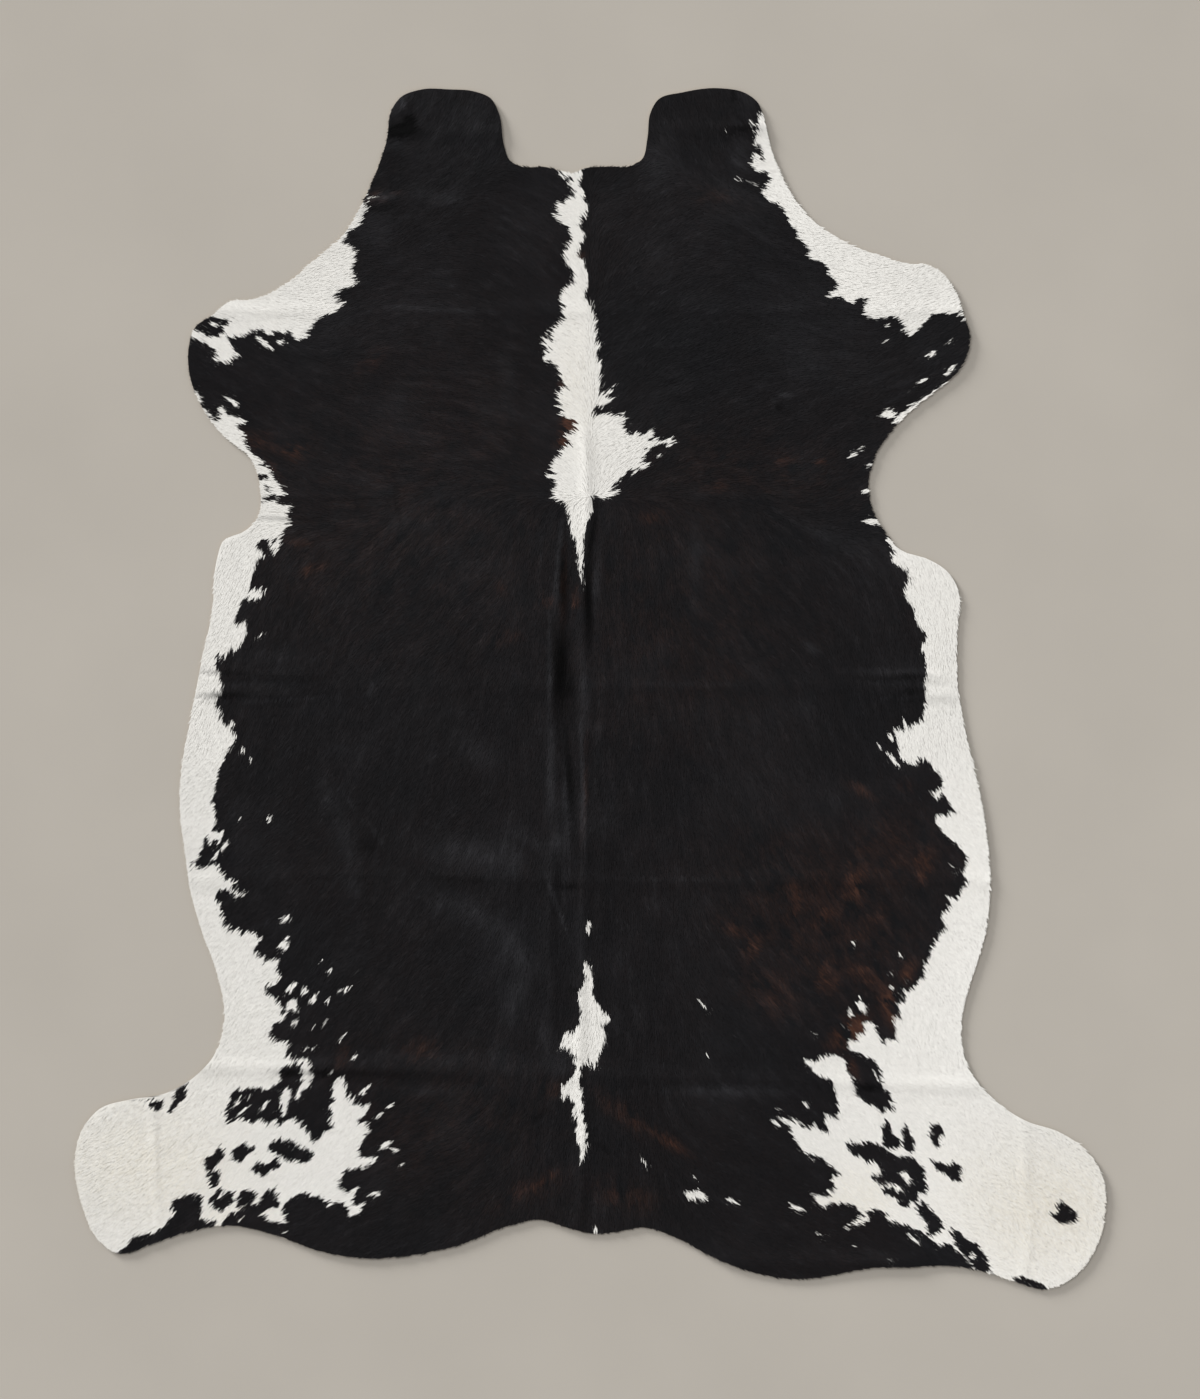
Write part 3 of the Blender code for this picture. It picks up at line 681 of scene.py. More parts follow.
def drawn_out(x, y, pitch, seed):
    """Noise that runs on along the lie of the hair: half the sum of five samples, a pitch apart."""
    way_x, way_y = lie_of_hair(x, y)
    steps = np.arange(-2, 3) * pitch
    return sum(noise(x + way_x * step, y + way_y * step, pitch, seed) for step in steps) / 2


def varied(name, x, y):
    """One of NOISES at each place: its rows' noises times their weights, added up."""
    return sum(
        weight * (drawn_out if drawn else noise)(x, y, pitch * MM, seed)
        for weight, pitch, seed, drawn in NOISES[name]
    )


def turned(x, y, angle):
    """Vectors turned anticlockwise by an angle in radians."""
    cos, sin = np.cos(angle), np.sin(angle)
    return x * cos - y * sin, x * sin + y * cos


def ellipse_ring(x, y, length, width, turn):
    """A closed ring of twelve places round an ellipse, turned by so many degrees."""
    angle = np.linspace(0, 2 * np.pi, 12, endpoint=False)
    off_x, off_y = turned(length / 2 * np.cos(angle), width / 2 * np.sin(angle), math.radians(turn))
    return np.stack([x + off_x, y + off_y], axis=1)


def patch_amount(patches, x, y):
    """How much of a tint shows at each place: rounded hills over the patches, and the highest counts."""
    amount = np.zeros_like(x)
    for mid_x, mid_y, half_length, half_width, turn, most in patches:
        along, across = turned(x - mid_x * MM, y - mid_y * MM, -math.radians(turn))
        far = (along / (half_length * MM)) ** 2 + (across / (half_width * MM)) ** 2
        amount = np.maximum(amount, most * np.exp(-far))
    return amount


def lie_of_hair(x, y):
    """The way the hair points at each place, as a unit vector: the charted ways on both halves,
    weighed by one over the fourth power of their distance."""
    way_x, way_y = np.zeros_like(x), np.zeros_like(y)
    for side in (1, -1):
        for post_x, post_y, away, forward in LIE_OF_HAIR:
            far = (x - side * post_x * MM) ** 2 + (y - post_y * MM) ** 2
            weight = 1 / (far + LIE_SPREAD**2) ** 2
            way_x += weight * side * away
            way_y += weight * forward
    size = np.hypot(way_x, way_y)
    return way_x / size, way_y / size


ISLAND_GROWTH = 1.6  # over 1, a black island's raster spreads by a part of a cell


def marking_rasters():
    """The charted markings as four rasters: the white patches, the blazes, the black islands in the
    white, and the small white holes and flecks in the black."""
    white_flecks, black_flecks = (
        [ellipse_ring(*fleck) for fleck in flecks] for flecks in (WHITE_FLECKS, BLACK_FLECKS)
    )
    white, blaze, black, holes, flecks = (
        softened(painted([np.array(ring, float) * MM for ring in rings]), 1)
        for rings in (
            WHITE_PATCHES.values(), BLAZES.values(), [*BLACK_PATCHES.values(), *black_flecks],
            WHITE_HOLES, white_flecks,
        )
    )
    return white, blaze, np.minimum(1, ISLAND_GROWTH * black), np.maximum(holes, flecks)


def whiteness(white, blaze, black, flecks):
    """How white a place is, from its value in each of the four rasters: white where a patch or a
    blaze is and no black island, and wherever a small white fleck is."""
    return np.maximum(np.maximum(white, blaze) * (1 - black), flecks)


RUG_RASTER = softened(painted([outline_points()]), RIM_CELLS)  # a half at the edge, 1 well inside


# ---------------------------------------------------------------- settings


def linear(code):
    """The linear red, green and blue of an sRGB hex colour."""
    values = [int(code[i : i + 2], 16) / 255 for i in (1, 3, 5)]
    return tuple(v / 12.92 if v <= 0.04045 else ((v + 0.055) / 1.055) ** 2.4 for v in values)


class CowhideSkin(bpy.types.PropertyGroup):
    """Sizes of the leather."""

    thickness: FloatProperty(
        name="Thickness", description="Thickness of the leather", default=3 * MM, unit="LENGTH"
    )
    inset: FloatProperty(
        name="Inset", description="How far the cut edge lies inside the tips of the hair",
        default=1.5 * MM, unit="LENGTH",
    )
    columns: IntProperty(name="Columns", description="Grid steps from left to right", default=168)
    rows: IntProperty(name="Rows", description="Grid steps from rump to neck", default=238)


class CowhideHair(bpy.types.PropertyGroup):
    """Sizes of the coat."""

    pitch: FloatProperty(
        name="Pitch", description="From one lock's root to the next", default=3.06 * MM, unit="LENGTH"
    )
    length: FloatProperty(
        name="Length", description="Length of a lock", default=14 * MM, unit="LENGTH"
    )
    width: FloatProperty(
        name="Width", description="Width of a lock at its root", default=2.1 * MM, unit="LENGTH"
    )
    rise: FloatProperty(
        name="Rise", description="How high a lock's tip lies over the leather",
        default=0.9 * MM, unit="LENGTH",
    )
    teeth: FloatProperty(
        name="Teeth", description="How far one colour's locks reach into the other's",
        default=6.5 * MM, unit="LENGTH",
    )


class CowhideColours(bpy.types.PropertyGroup):
    """Colours of the coat and the leather."""

    black: FloatVectorProperty(
        name="Black", description="Black hair", subtype="COLOR", default=linear("#171719")
    )
    white: FloatVectorProperty(
        name="White", description="White hair", subtype="COLOR", default=linear("#edebe6")
    )
    brown: FloatVectorProperty(
        name="Brown", description="Faded black hair", subtype="COLOR", default=linear("#4d3227")
    )
    cream: FloatVectorProperty(
        name="Cream", description="Yellowed white hair", subtype="COLOR", default=linear("#e9e2d2")
    )
    # Painted sheen: the paler grey that black hair's colour is mixed toward where it should look lit.
    sheen: FloatVectorProperty(
        name="Sheen", description="Black hair where it shines", subtype="COLOR", default=linear("#363639")
    )
    flesh: FloatVectorProperty(
        name="Flesh side", description="Suede of the underside", subtype="COLOR", default=linear("#b9ac98")
    )
    cut: FloatVectorProperty(
        name="Cut edge", description="Leather at the cut", subtype="COLOR", default=linear("#a79a88")
    )


class CowhideStage(bpy.types.PropertyGroup):
    """The floor, the light and the camera."""

    floor: FloatVectorProperty(
        name="Floor", description="Colour of the plain floor", subtype="COLOR", default=linear("#b5afa6")
    )
    camera_height: FloatProperty(
        name="Camera height", description="Height of the camera over the floor", default=12, unit="LENGTH"
    )
    view_height: FloatProperty(
        name="View height", description="How much of the floor the image shows from top to bottom",
        default=2.477, unit="LENGTH",
    )
    key_strength: FloatProperty(name="Key light", description="Strength of the high light", default=0.72)
    low_strength: FloatProperty(
        name="Low light", description="Strength of the low light, which draws the shadow", default=4.7
    )
    fill_strength: FloatProperty(name="Fill light", description="Strength of the sky", default=0.5)


# ---------------------------------------------------------------- materials
# Sockets that share their names with others, by number: a Mix node's for colours, and a Map
# Range node's for plain values.
MIX_FACTOR, MIX_A, MIX_B, MIX_RESULT = 0, 6, 7, 2
FROM_LOW, FROM_HIGH, TO_LOW, TO_HIGH = 1, 2, 3, 4

# The sheen amount is painted sheen, and the tone carries painted shade as well as the coat's own tone.
AMOUNTS = ("white", "faded", "sheen", "tone")  # the numbers that the hair has at each place
STRANDS = (4, 0.8, 1)  # waves of the strands' noise over a lock's width and length


def add_node(tree, kind, inputs=None, **settings):
    """Add a shader node. settings are its own properties, and inputs gives its sockets by name or
    number: a value to set, or another node's output to link from."""
    node = tree.nodes.new("ShaderNode" + kind)
    for name, value in settings.items():
        setattr(node, name, value)
    for name, value in (inputs or {}).items():
        if isinstance(value, bpy.types.NodeSocket):
            tree.links.new(value, node.inputs[name])
        else:
            node.inputs[name].default_value = value
    return node


def new_material(name):
    """An empty node material, with its shader already joined to its output."""
    material = bpy.data.materials.new(name)
    material.use_nodes = True
    tree = material.node_tree
    tree.nodes.clear()
    shader = add_node(tree, "BsdfPrincipled")
    add_node(tree, "OutputMaterial", {"Surface": shader.outputs["BSDF"]})
    return material, tree, shader


def toned(tree, tint, pattern, low, high, dark, pale):
    """A tint made darker and paler by a pattern: the pattern's values from low to high become
    light from dark to pale, and the light multiplies the tint."""
    ends = {FROM_LOW: low, FROM_HIGH: high, TO_LOW: dark, TO_HIGH: pale}
    light = add_node(tree, "MapRange", {"Value": pattern, **ends})
    sockets = {MIX_FACTOR: 1.0, MIX_A: (*tint, 1), MIX_B: light.outputs["Result"]}
    colour = add_node(tree, "Mix", sockets, data_type="RGBA", blend_type="MULTIPLY")
    return colour.outputs[MIX_RESULT]


def hair_on_hide(colours):
    """Cattle hair, tanned with the skin: fine, straight and oily, so black hair mirrors the light faintly,
    and white hair scatters it. The soft band where black hair shines is painted sheen, mixed into its
    colour. Each lock has its own amounts of white, fading and painted sheen, and a tone of its own,
    which also carries painted shade. Hairs are 0.05 mm thick, too fine to show, so a lock shows as a
    few strands of about 0.5 mm."""
    material, tree, shader = new_material("hair-on cowhide")
    amount = {
        name: add_node(tree, "Attribute", attribute_name=name).outputs["Fac"] for name in AMOUNTS
    }
    tint = {name: (*getattr(colours, name), 1) for name in ("black", "brown", "sheen", "white", "cream")}
    # The sheen tint is painted sheen: black hair is mixed toward a paler grey where it should look lit.
    # Columns: the tint made, the amount it goes by, and the tints it goes from and to.
    for made, share, first, second in (
        ("dark", "faded", "black", "brown"),
        ("dark", "sheen", "dark", "sheen"),
        ("pale", "faded", "white", "cream"),
        ("coat", "white", "dark", "pale"),
    ):
        sockets = {MIX_FACTOR: amount[share], MIX_A: tint[first], MIX_B: tint[second]}
        tint[made] = add_node(tree, "Mix", sockets, data_type="RGBA").outputs[MIX_RESULT]
    lock = add_node(tree, "UVMap", uv_map="lock")
    stretched = add_node(tree, "Mapping", {"Vector": lock.outputs["UV"], "Scale": STRANDS})
    strands = add_node(
        tree, "TexNoise", {"Vector": stretched.outputs["Vector"], "Scale": 1.0, "Detail": 2},
        noise_dimensions="2D",
    )
    ends = {FROM_LOW: 0.3, FROM_HIGH: 0.7, TO_LOW: 0.86, TO_HIGH: 1.1}
    light = add_node(tree, "MapRange", {"Value": strands.outputs["Fac"], **ends})
    # The tone, with its painted shade, darkens or lightens each lock's colour.
    own = add_node(tree, "Math", {0: light.outputs["Result"], 1: amount["tone"]}, operation="MULTIPLY")
    shaded = add_node(
        tree, "Mix", {MIX_FACTOR: 1.0, MIX_A: tint["coat"], MIX_B: own.outputs["Value"]},
        data_type="RGBA", blend_type="MULTIPLY",
    )
    rough = add_node(tree, "MapRange", {"Value": amount["white"], TO_LOW: 0.42, TO_HIGH: 0.62})
    ridges = add_node(
        tree, "Bump", {"Height": strands.outputs["Fac"], "Strength": 0.35, "Distance": 0.3 * MM}
    )
    tree.links.new(shaded.outputs[MIX_RESULT], shader.inputs["Base Color"])
    tree.links.new(rough.outputs["Result"], shader.inputs["Roughness"])
    tree.links.new(ridges.outputs["Normal"], shader.inputs["Normal"])
    shader.inputs["IOR"].default_value = 1.5
    shader.inputs["Specular IOR Level"].default_value = 0.06
    return material


def suede_flesh_side(colours):
    """Chrome-tanned split, buffed to suede: a dry, pale, napped face with no gloss, cloudy where the
    dye took unevenly. The nap is 0.3 mm long and drawn at 1.5 mm, so that it shows."""
    material, tree, shader = new_material("suede flesh side")
    place = add_node(tree, "TexCoord").outputs["Object"]
    clouds = add_node(tree, "TexNoise", {"Vector": place, "Scale": 1 / (60 * MM), "Detail": 3})
    nap = add_node(tree, "TexNoise", {"Vector": place, "Scale": 1 / (1.5 * MM), "Detail": 4})
    both = add_node(tree, "Math", {0: clouds.outputs["Fac"], 1: nap.outputs["Fac"]}, operation="ADD")
    colour = toned(tree, colours.flesh, both.outputs["Value"], 0.6, 1.4, 0.82, 1.08)
    bump = add_node(tree, "Bump", {"Height": nap.outputs["Fac"], "Strength": 0.6, "Distance": 0.3 * MM})
    tree.links.new(colour, shader.inputs["Base Color"])
    tree.links.new(bump.outputs["Normal"], shader.inputs["Normal"])
    shader.inputs["Roughness"].default_value = 0.95
    shader.inputs["Sheen Weight"].default_value = 0.15
    return material


def cut_leather(colours):
    """Chrome-tanned leather at a knife cut: a matt, fibrous edge with no finish on it. The fibres
    are drawn 0.6 mm across, so that they show."""
    material, tree, shader = new_material("cut leather edge")
    place = add_node(tree, "TexCoord").outputs["Object"]
    fibres = add_node(tree, "TexNoise", {"Vector": place, "Scale": 1 / (0.6 * MM), "Detail": 3})
    colour = toned(tree, colours.cut, fibres.outputs["Fac"], 0.3, 0.7, 0.7, 1.1)
    tree.links.new(colour, shader.inputs["Base Color"])
    shader.inputs["Roughness"].default_value = 0.9
    return material


def painted_floor(stage):
    """Floor paint, rolled on: matt and even, with the faintest cloud where the roller went."""
    material, tree, shader = new_material("painted floor")
    place = add_node(tree, "TexCoord").outputs["Object"]
    cloud = add_node(tree, "TexNoise", {"Vector": place, "Scale": 1 / (400 * MM), "Detail": 4})
    colour = toned(tree, stage.floor, cloud.outputs["Fac"], 0.3, 0.7, 0.97, 1.03)
    tree.links.new(colour, shader.inputs["Base Color"])
    shader.inputs["Roughness"].default_value = 0.85
    return material


# ---------------------------------------------------------------- meshes


def new_piece(name, places, faces, materials):
    """A mesh object at the origin, and the vertex of each corner of its faces. places is an array of
    (x, y, z), and faces is a list of arrays of vertex numbers, each with a row for a face."""
    mesh = bpy.data.meshes.new(name)
    corners = np.concatenate([kind.ravel() for kind in faces])
    sizes = np.concatenate([np.full(len(kind), kind.shape[1]) for kind in faces])
    mesh.vertices.add(len(places))
    mesh.vertices.foreach_set("co", places.astype(np.float32).ravel())
    mesh.loops.add(len(corners))
    mesh.loops.foreach_set("vertex_index", corners.astype(np.int32))
    mesh.polygons.add(len(sizes))
    mesh.polygons.foreach_set("loop_start", (np.cumsum(sizes) - sizes).astype(np.int32))
    for material in materials:
        mesh.materials.append(material)
    mesh.update(calc_edges=True)
    piece = bpy.data.objects.new(name, mesh)
    bpy.context.scene.collection.objects.link(piece)
    return piece, corners


def set_amounts(mesh, amounts):
    """Store one number a vertex under each name, for the material to read."""
    for name, values in amounts.items():
        attribute = mesh.attributes.new(name, "FLOAT", "POINT")
        attribute.data.foreach_set("value", values.astype(np.float32))


def set_map(mesh, name, places):
    """Store a UV map, given as one (u, v) for each corner of each face."""
    layer = mesh.uv_layers.new(name=name)
    layer.uv.foreach_set("vector", places.astype(np.float32).ravel())


def part_of_outline(edge, first, last):
    """The points of the edge from one place of OUTLINE to another, clockwise, both among them."""
    start, end = (OUTLINE_PLACES.index(place) * STEPS_PER_SPAN for place in (first, last))
    count = (end - start) % len(edge) + 1
    return edge[(start + np.arange(count)) % len(edge)]


def by_height(side, heights):
    """The places where a side that only rises crosses each height. A hair is added to each point in
    turn, so that level stretches rise too."""
    rising = np.maximum.accumulate(side[:, 1]) + np.arange(len(side)) * 1e-9
    return np.stack([np.interp(heights, rising, side[:, 0]), heights], axis=-1)


def walked(path):
    """How far along a path each of its places lies, from the first."""
    return np.append(0, np.cumsum(np.hypot(*np.diff(path, axis=0).T)))


RELAX_ROUNDS = 300  # enough for every folded face to open
RELAX_SHARE = 0.8  # how much of the way to its goal a point goes in a round


def skin_grid(edge, columns, rows):
    """The skin's grid of (x, y) places, rows from rump to neck and columns from left to right.

    A point is blended from the four sides: what the rump and neck sides give for its column, plus
    what the left and right sides give for its row, less what the four corners give for both. The
    rows cross both long sides at equal steps of the distance walked up them, added together.
    """
    neck = part_of_outline(edge, TOP_LEFT, TOP_RIGHT)
    right = part_of_outline(edge, TOP_RIGHT, BOTTOM_RIGHT)[::-1]
    rump = part_of_outline(edge, BOTTOM_RIGHT, BOTTOM_LEFT)[::-1]
    left = part_of_outline(edge, BOTTOM_LEFT, TOP_LEFT)
    u, fine = np.linspace(0, 1, columns + 1), np.linspace(0, 1, 4 * rows)
    heights = [side[0, 1] + fine * (side[-1, 1] - side[0, 1]) for side in (left, right)]
    sides = [by_height(side, height) for side, height in zip((left, right), heights)]
    walk = sum(walked(side) for side in sides)
    v = np.interp(np.linspace(0, walk[-1], rows + 1), walk, fine)
    left, right = (
        by_height(side, side[0, 1] + v * (side[-1, 1] - side[0, 1])) for side in (left, right)
    )
    walk = walked(neck)
    neck = np.stack([np.interp(u * walk[-1], walk, neck[:, axis]) for axis in (0, 1)], axis=-1)
    rump_x = rump[0, 0] + u * (rump[-1, 0] - rump[0, 0])
    rump = np.stack([rump_x, np.interp(rump_x, rump[:, 0], rump[:, 1])], axis=-1)
    u, v = u[None, :, None], v[:, None, None]
    left, right = left[:, None], right[:, None]
    return relaxed(
        (1 - v) * rump + v * neck + (1 - u) * left + u * right
        - (1 - v) * ((1 - u) * rump[0] + u * rump[-1])
        - v * ((1 - u) * neck[0] + u * neck[-1])
    )


def relaxed(grid):
    """The grid with its inner points moved in rounds until none of its faces folds over another.

    In each round a point goes most of the way to the mean of its four neighbours. The two beside it
    are weighed by the squared step along its column, and the two above and below by the squared
    step along its row, less the product of both steps times what its four diagonal neighbours
    give. The rim stays where it is.
    """
    for _ in range(RELAX_ROUNDS):
        left, right, below, above = grid[1:-1, :-2], grid[1:-1, 2:], grid[:-2, 1:-1], grid[2:, 1:-1]
        across, along = (right - left) / 2, (above - below) / 2
        skewed = (grid[2:, 2:] - grid[2:, :-2] - grid[:-2, 2:] + grid[:-2, :-2]) / 4
        wide, tall, both = (
            (one * other).sum(axis=-1, keepdims=True)
            for one, other in ((across, across), (along, along), (across, along))
        )
        goal = tall * (left + right) + wide * (below + above) - 2 * both * skewed
        grid[1:-1, 1:-1] += RELAX_SHARE * (goal / (2 * (wide + tall)) - grid[1:-1, 1:-1])
    return grid


HAIR_SIDE, FLESH_SIDE, CUT_EDGE = range(3)  # material slots of the skin
MAP_SPAN = 1 / (cad_high.y - cad_low.y)  # map squares a metre, so that the rug's length fills the map
FLESH_MAP_SIZE = 0.15  # the underside's share of its full size on the map, in a free corner
CUT_MAP_REACH = 3 * MM  # how far out from the edge the cut lies on the map
SKIN_LOCK = 5 * MM  # the skin's hair side shows locks of this size, where any shows between the hair
SHARP_ANGLE = 40  # degrees between two faces, from which the skin has a crease


def build_skin(sizes, materials):
    """The leather as a closed sheet: the grid raised by relief, once for the flesh side and once a
    thickness higher for the hair side, and a strip of faces round the rim between the two."""
    edge = inset_edge(outline_points(), sizes.inset)
    flat = skin_grid(edge, sizes.columns, sizes.rows)
    x, y = flat[..., 0].ravel(), flat[..., 1].ravel()
    low = relief(x, y)
    under = np.stack([x, y, low], axis=-1)
    over = under + (0, 0, sizes.thickness)
    corner = np.arange(len(x)).reshape(flat.shape[:2])
    quads = np.stack(
        [corner[:-1, :-1], corner[:-1, 1:], corner[1:, 1:], corner[1:, :-1]], axis=-1
    ).reshape(-1, 4)
    rim = np.concatenate([corner[0, :-1], corner[:-1, -1], corner[-1, :0:-1], corner[:0:-1, 0]])
    next_rim = np.roll(rim, -1)
    strip = np.stack([rim, next_rim, next_rim + len(x), rim + len(x)], axis=-1)
    faces = [quads + len(x), quads[:, ::-1], strip]
    skin, corners = new_piece("skin", np.concatenate([under, over]), faces, materials)
    kinds = np.repeat([HAIR_SIDE, FLESH_SIDE, CUT_EDGE], [len(quads), len(quads), len(strip)])
    skin.data.polygons.foreach_set("material_index", kinds.astype(np.int32))
    skin.data.shade_smooth()
    skin.data.set_sharp_from_angle(angle=math.radians(SHARP_ANGLE))

    place = np.concatenate([flat.reshape(-1, 2)] * 2)[corners]
    on_map = (place - (cad_low.x, cad_low.y)) * MAP_SPAN
    kind = np.repeat(kinds, 4)
    on_map[kind == FLESH_SIDE] *= FLESH_MAP_SIZE
    on_map[kind == FLESH_SIDE] += (0, 1 - FLESH_MAP_SIZE)
    outer = corners >= len(x)
    push = inset_edge(edge, -CUT_MAP_REACH)
    nearest = np.argmin(
        np.hypot(*(flat.reshape(-1, 2)[rim][:, None] - edge[None]).transpose(2, 0, 1)), axis=1
    )
    pushed = (push[nearest] - edge[nearest]) * MAP_SPAN
    shift = np.zeros((len(x), 2))
    shift[rim] = pushed
    low_rim = (kind == CUT_EDGE) & ~outer
    on_map[low_rim] += shift[corners[low_rim]]
    set_map(skin.data, "OFBake", on_map)
    set_map(skin.data, "lock", place / SKIN_LOCK)

    white = whiteness(*(looked_up(raster, x, y) for raster in marking_rasters()))
    amounts = amounts_at(white, x, y)
    set_amounts(skin.data, {name: np.tile(values, 2) for name, values in amounts.items()})
    return skin


# Each pair is for black hair and for white hair.
TONE_WAVER = (0.1, 0.01)  # how much the tone varies over the coat
OWN_TONE = (0.035, 0.01)  # the usual difference in tone from lock to lock
OWN_RISE = (0.25, 0.13)  # how much a lock's rise varies, as a share of the setting
OWN_ROLL = (3, 0.6)  # the usual roll of a lock about its own line, in degrees


def by_colour(pair, white):
    """From a pair's first number, for black hair, to its second, for white, by how white it is."""
    return pair[0] + (pair[1] - pair[0]) * white


def amounts_at(white, x, y):
    """The amounts of white, fading and painted sheen, and the tone with its painted shade, at places
    that are white by so much.

    Black fades by the brown patches, times blotches and wisps, and white by the cream ones, and
    both a little by the drift. Painted sheen is that of its patches, varied by wisps and clouds, and
    shows faintly where these are strong. The tone is 1, varied by clouds and wisps, and darkened by
    painted shade down to 0.15 of that in the darkest creases.
    """
    cloud, wisp, drift, blotch = (varied(name, x, y) for name in ("cloud", "wisp", "drift", "blotch"))
    brown = patch_amount(BROWN_PATCHES, x, y) * (0.65 + blotch + 0.35 * wisp) + 0.015 * drift + 0.02
    cream = patch_amount(CREAM_PATCHES, x, y) + 0.05 * drift
    sheen = patch_amount(PAINTED_SHEEN_PATCHES, x, y) * (0.9 + 0.25 * wisp + 0.2 * cloud)
    sheen += 0.07 * (cloud - 0.2).clip(0) + 0.06 * (wisp - 0.3).clip(0)
    # Painted shade: the tone is darkened in tucks, in creases and under the broad shade patches.
    painted_shade = patch_amount(PAINTED_SHADE_PATCHES, x, y).clip(0, 1)
    tone = 1 + by_colour(TONE_WAVER, white) * (cloud + wisp) / 1.5
    return {
        "white": white,
        "faded": by_colour((brown, cream), white).clip(0, 1),
        "sheen": sheen.clip(0, 1),
        "tone": tone * (1 - 0.85 * painted_shade),
    }


COAT_SEED = 5
ROOT_SHAKE = 0.45  # how far a root strays from its square grid each way, as a share of the pitch
ROOT_INSET = 2.5 * MM  # how far inside the rug's edge the outermost roots stand
EDGE_FADE = 2 * EDGE_SOFTNESS * FIELD_PITCH  # the outline's raster rises from 0 to 1 over about this
EDGE_TESTS = (0.25, 0.4, 0.55, 0.7, 0.85, 1.0)  # shares of a lock's length tried at the rug's edge
RAGGED = 1.2 * MM  # how far tips pass the rug's edge by and large, and how much that varies
OWN_SIZE = (0.8, 1.15)  # the least and most of a lock's length and width, as shares of the settings
OWN_TURN, OWN_BEND = 4, 6  # a lock's own usual turn and bend, in degrees
OWN_FADING = (0.4, 1.4)  # the least and most that a lock's fading is multiplied by
MIDDLE_RISE = 0.85  # a lock's rise on average, as a share of the setting
TIP_SHARE = 0.8  # where along a lock its colour is judged, because its root lies under other locks
SWAYS = (0.55, 0.85, 0.45, 0.45)  # the share of the teeth that each of the marking rasters takes
WHITE_GAIN = 6  # how sharply a lock is either black or white
# Painted sheen: a few locks at random are mixed toward the sheen grey.
STRAY_SHARE, STRAY_PAINTED_SHEEN = 0.01, 0.15  # how many locks shine by themselves, and by how much


def grow_locks(sizes):
    """Every lock of the coat, as arrays: root, unit direction, length, width, rise and colour amounts.

    Roots stand on a square grid, each shaken by almost half a step. A lock points along the lie of
    the hair, and wavers with its neighbours and by itself. It is shortened until its tip lies
    within the rug's edge. Its colour is that of the chart near its tip, shifted along the lie of
    the hair by noise that neighbouring locks share, so that the colours meet in teeth.
    """
    shake = np.random.default_rng(COAT_SEED)
    edge = softened(painted([outline_points()]), EDGE_SOFTNESS)
    columns = np.arange(cad_low.x, cad_high.x, sizes.pitch)
    rows = np.arange(cad_low.y, cad_high.y, sizes.pitch)
    x, y = (
        axis.ravel() + shake.uniform(-ROOT_SHAKE, ROOT_SHAKE, axis.size) * sizes.pitch
        for axis in np.meshgrid(columns, rows)
    )
    inside = looked_up(edge, x, y) > 0.5 + ROOT_INSET / EDGE_FADE
    x, y = x[inside], y[inside]
    count = len(x)

    turn = varied("turn", x, y) + shake.normal(0, OWN_TURN, count)
    way_x, way_y = turned(*lie_of_hair(x, y), np.radians(turn))
    length = sizes.length * shake.uniform(*OWN_SIZE, count)
    ragged = 0.5 - RAGGED * (1 + varied("ragged", x, y)) / EDGE_FADE
    share = np.full(count, EDGE_TESTS[0])
    for passed, test in zip(EDGE_TESTS, EDGE_TESTS[1:]):
        held = looked_up(edge, x + way_x * length * test, y + way_y * length * test) > ragged
        share = np.where(held & (share == passed), test, share)
    length *= share

    clump, lobe_x, lobe_y = (varied(name, x, y) for name in ("clump", "lobe_x", "lobe_y"))
    seen = []
    for raster, sway in zip(marking_rasters(), SWAYS):
        teeth = sway * sizes.teeth
        reach = TIP_SHARE * length - teeth * clump
        seen.append(
            looked_up(raster, x + way_x * reach + teeth * lobe_x, y + way_y * reach + teeth * lobe_y)
        )
    white = whiteness(*seen)
    amounts = amounts_at(white, x + way_x * TIP_SHARE * length, y + way_y * TIP_SHARE * length)
    amounts["white"] = white = np.clip((white - 0.5) * WHITE_GAIN + 0.5, 0, 1)
    stray = shake.uniform(0, 1, count) > 1 - STRAY_SHARE
    amounts["tone"] *= 1 + by_colour(OWN_TONE, white) * shake.normal(0, 1, count).clip(-2, 2)
    amounts["faded"] *= shake.uniform(*OWN_FADING, count)
    amounts["sheen"] += STRAY_PAINTED_SHEEN * stray
    return {
        "x": x, "y": y, "way_x": way_x, "way_y": way_y, "length": length,
        "width": sizes.width * shake.uniform(*OWN_SIZE, count),
        "rise": sizes.rise * (MIDDLE_RISE + by_colour(OWN_RISE, white) * shake.uniform(-1, 1, count)),
        "roll": np.radians(by_colour(OWN_ROLL, white) * shake.normal(0, 1, count)),
        "bend": np.radians(shake.normal(0, OWN_BEND, count) + varied("bend", x, y)),
        **amounts,
    }


# The corners of a lock: two at its root, two past its middle and one at its tip. Columns: how far
# along, how far across and how high, as shares of its length, width and rise.
LOCK_SHAPE = np.array([
    (0, -0.5, 0.6), (0, 0.5, 0.6), (0.55, -0.44, 0.92), (0.55, 0.44, 0.92), (1, 0, 1),
])
LOCK_FACES = ((0, 2, 3, 1), (2, 4, 3))
STRAND_SHIFT = 50  # locks lie up to this far apart on the "lock" map, so that their strands differ


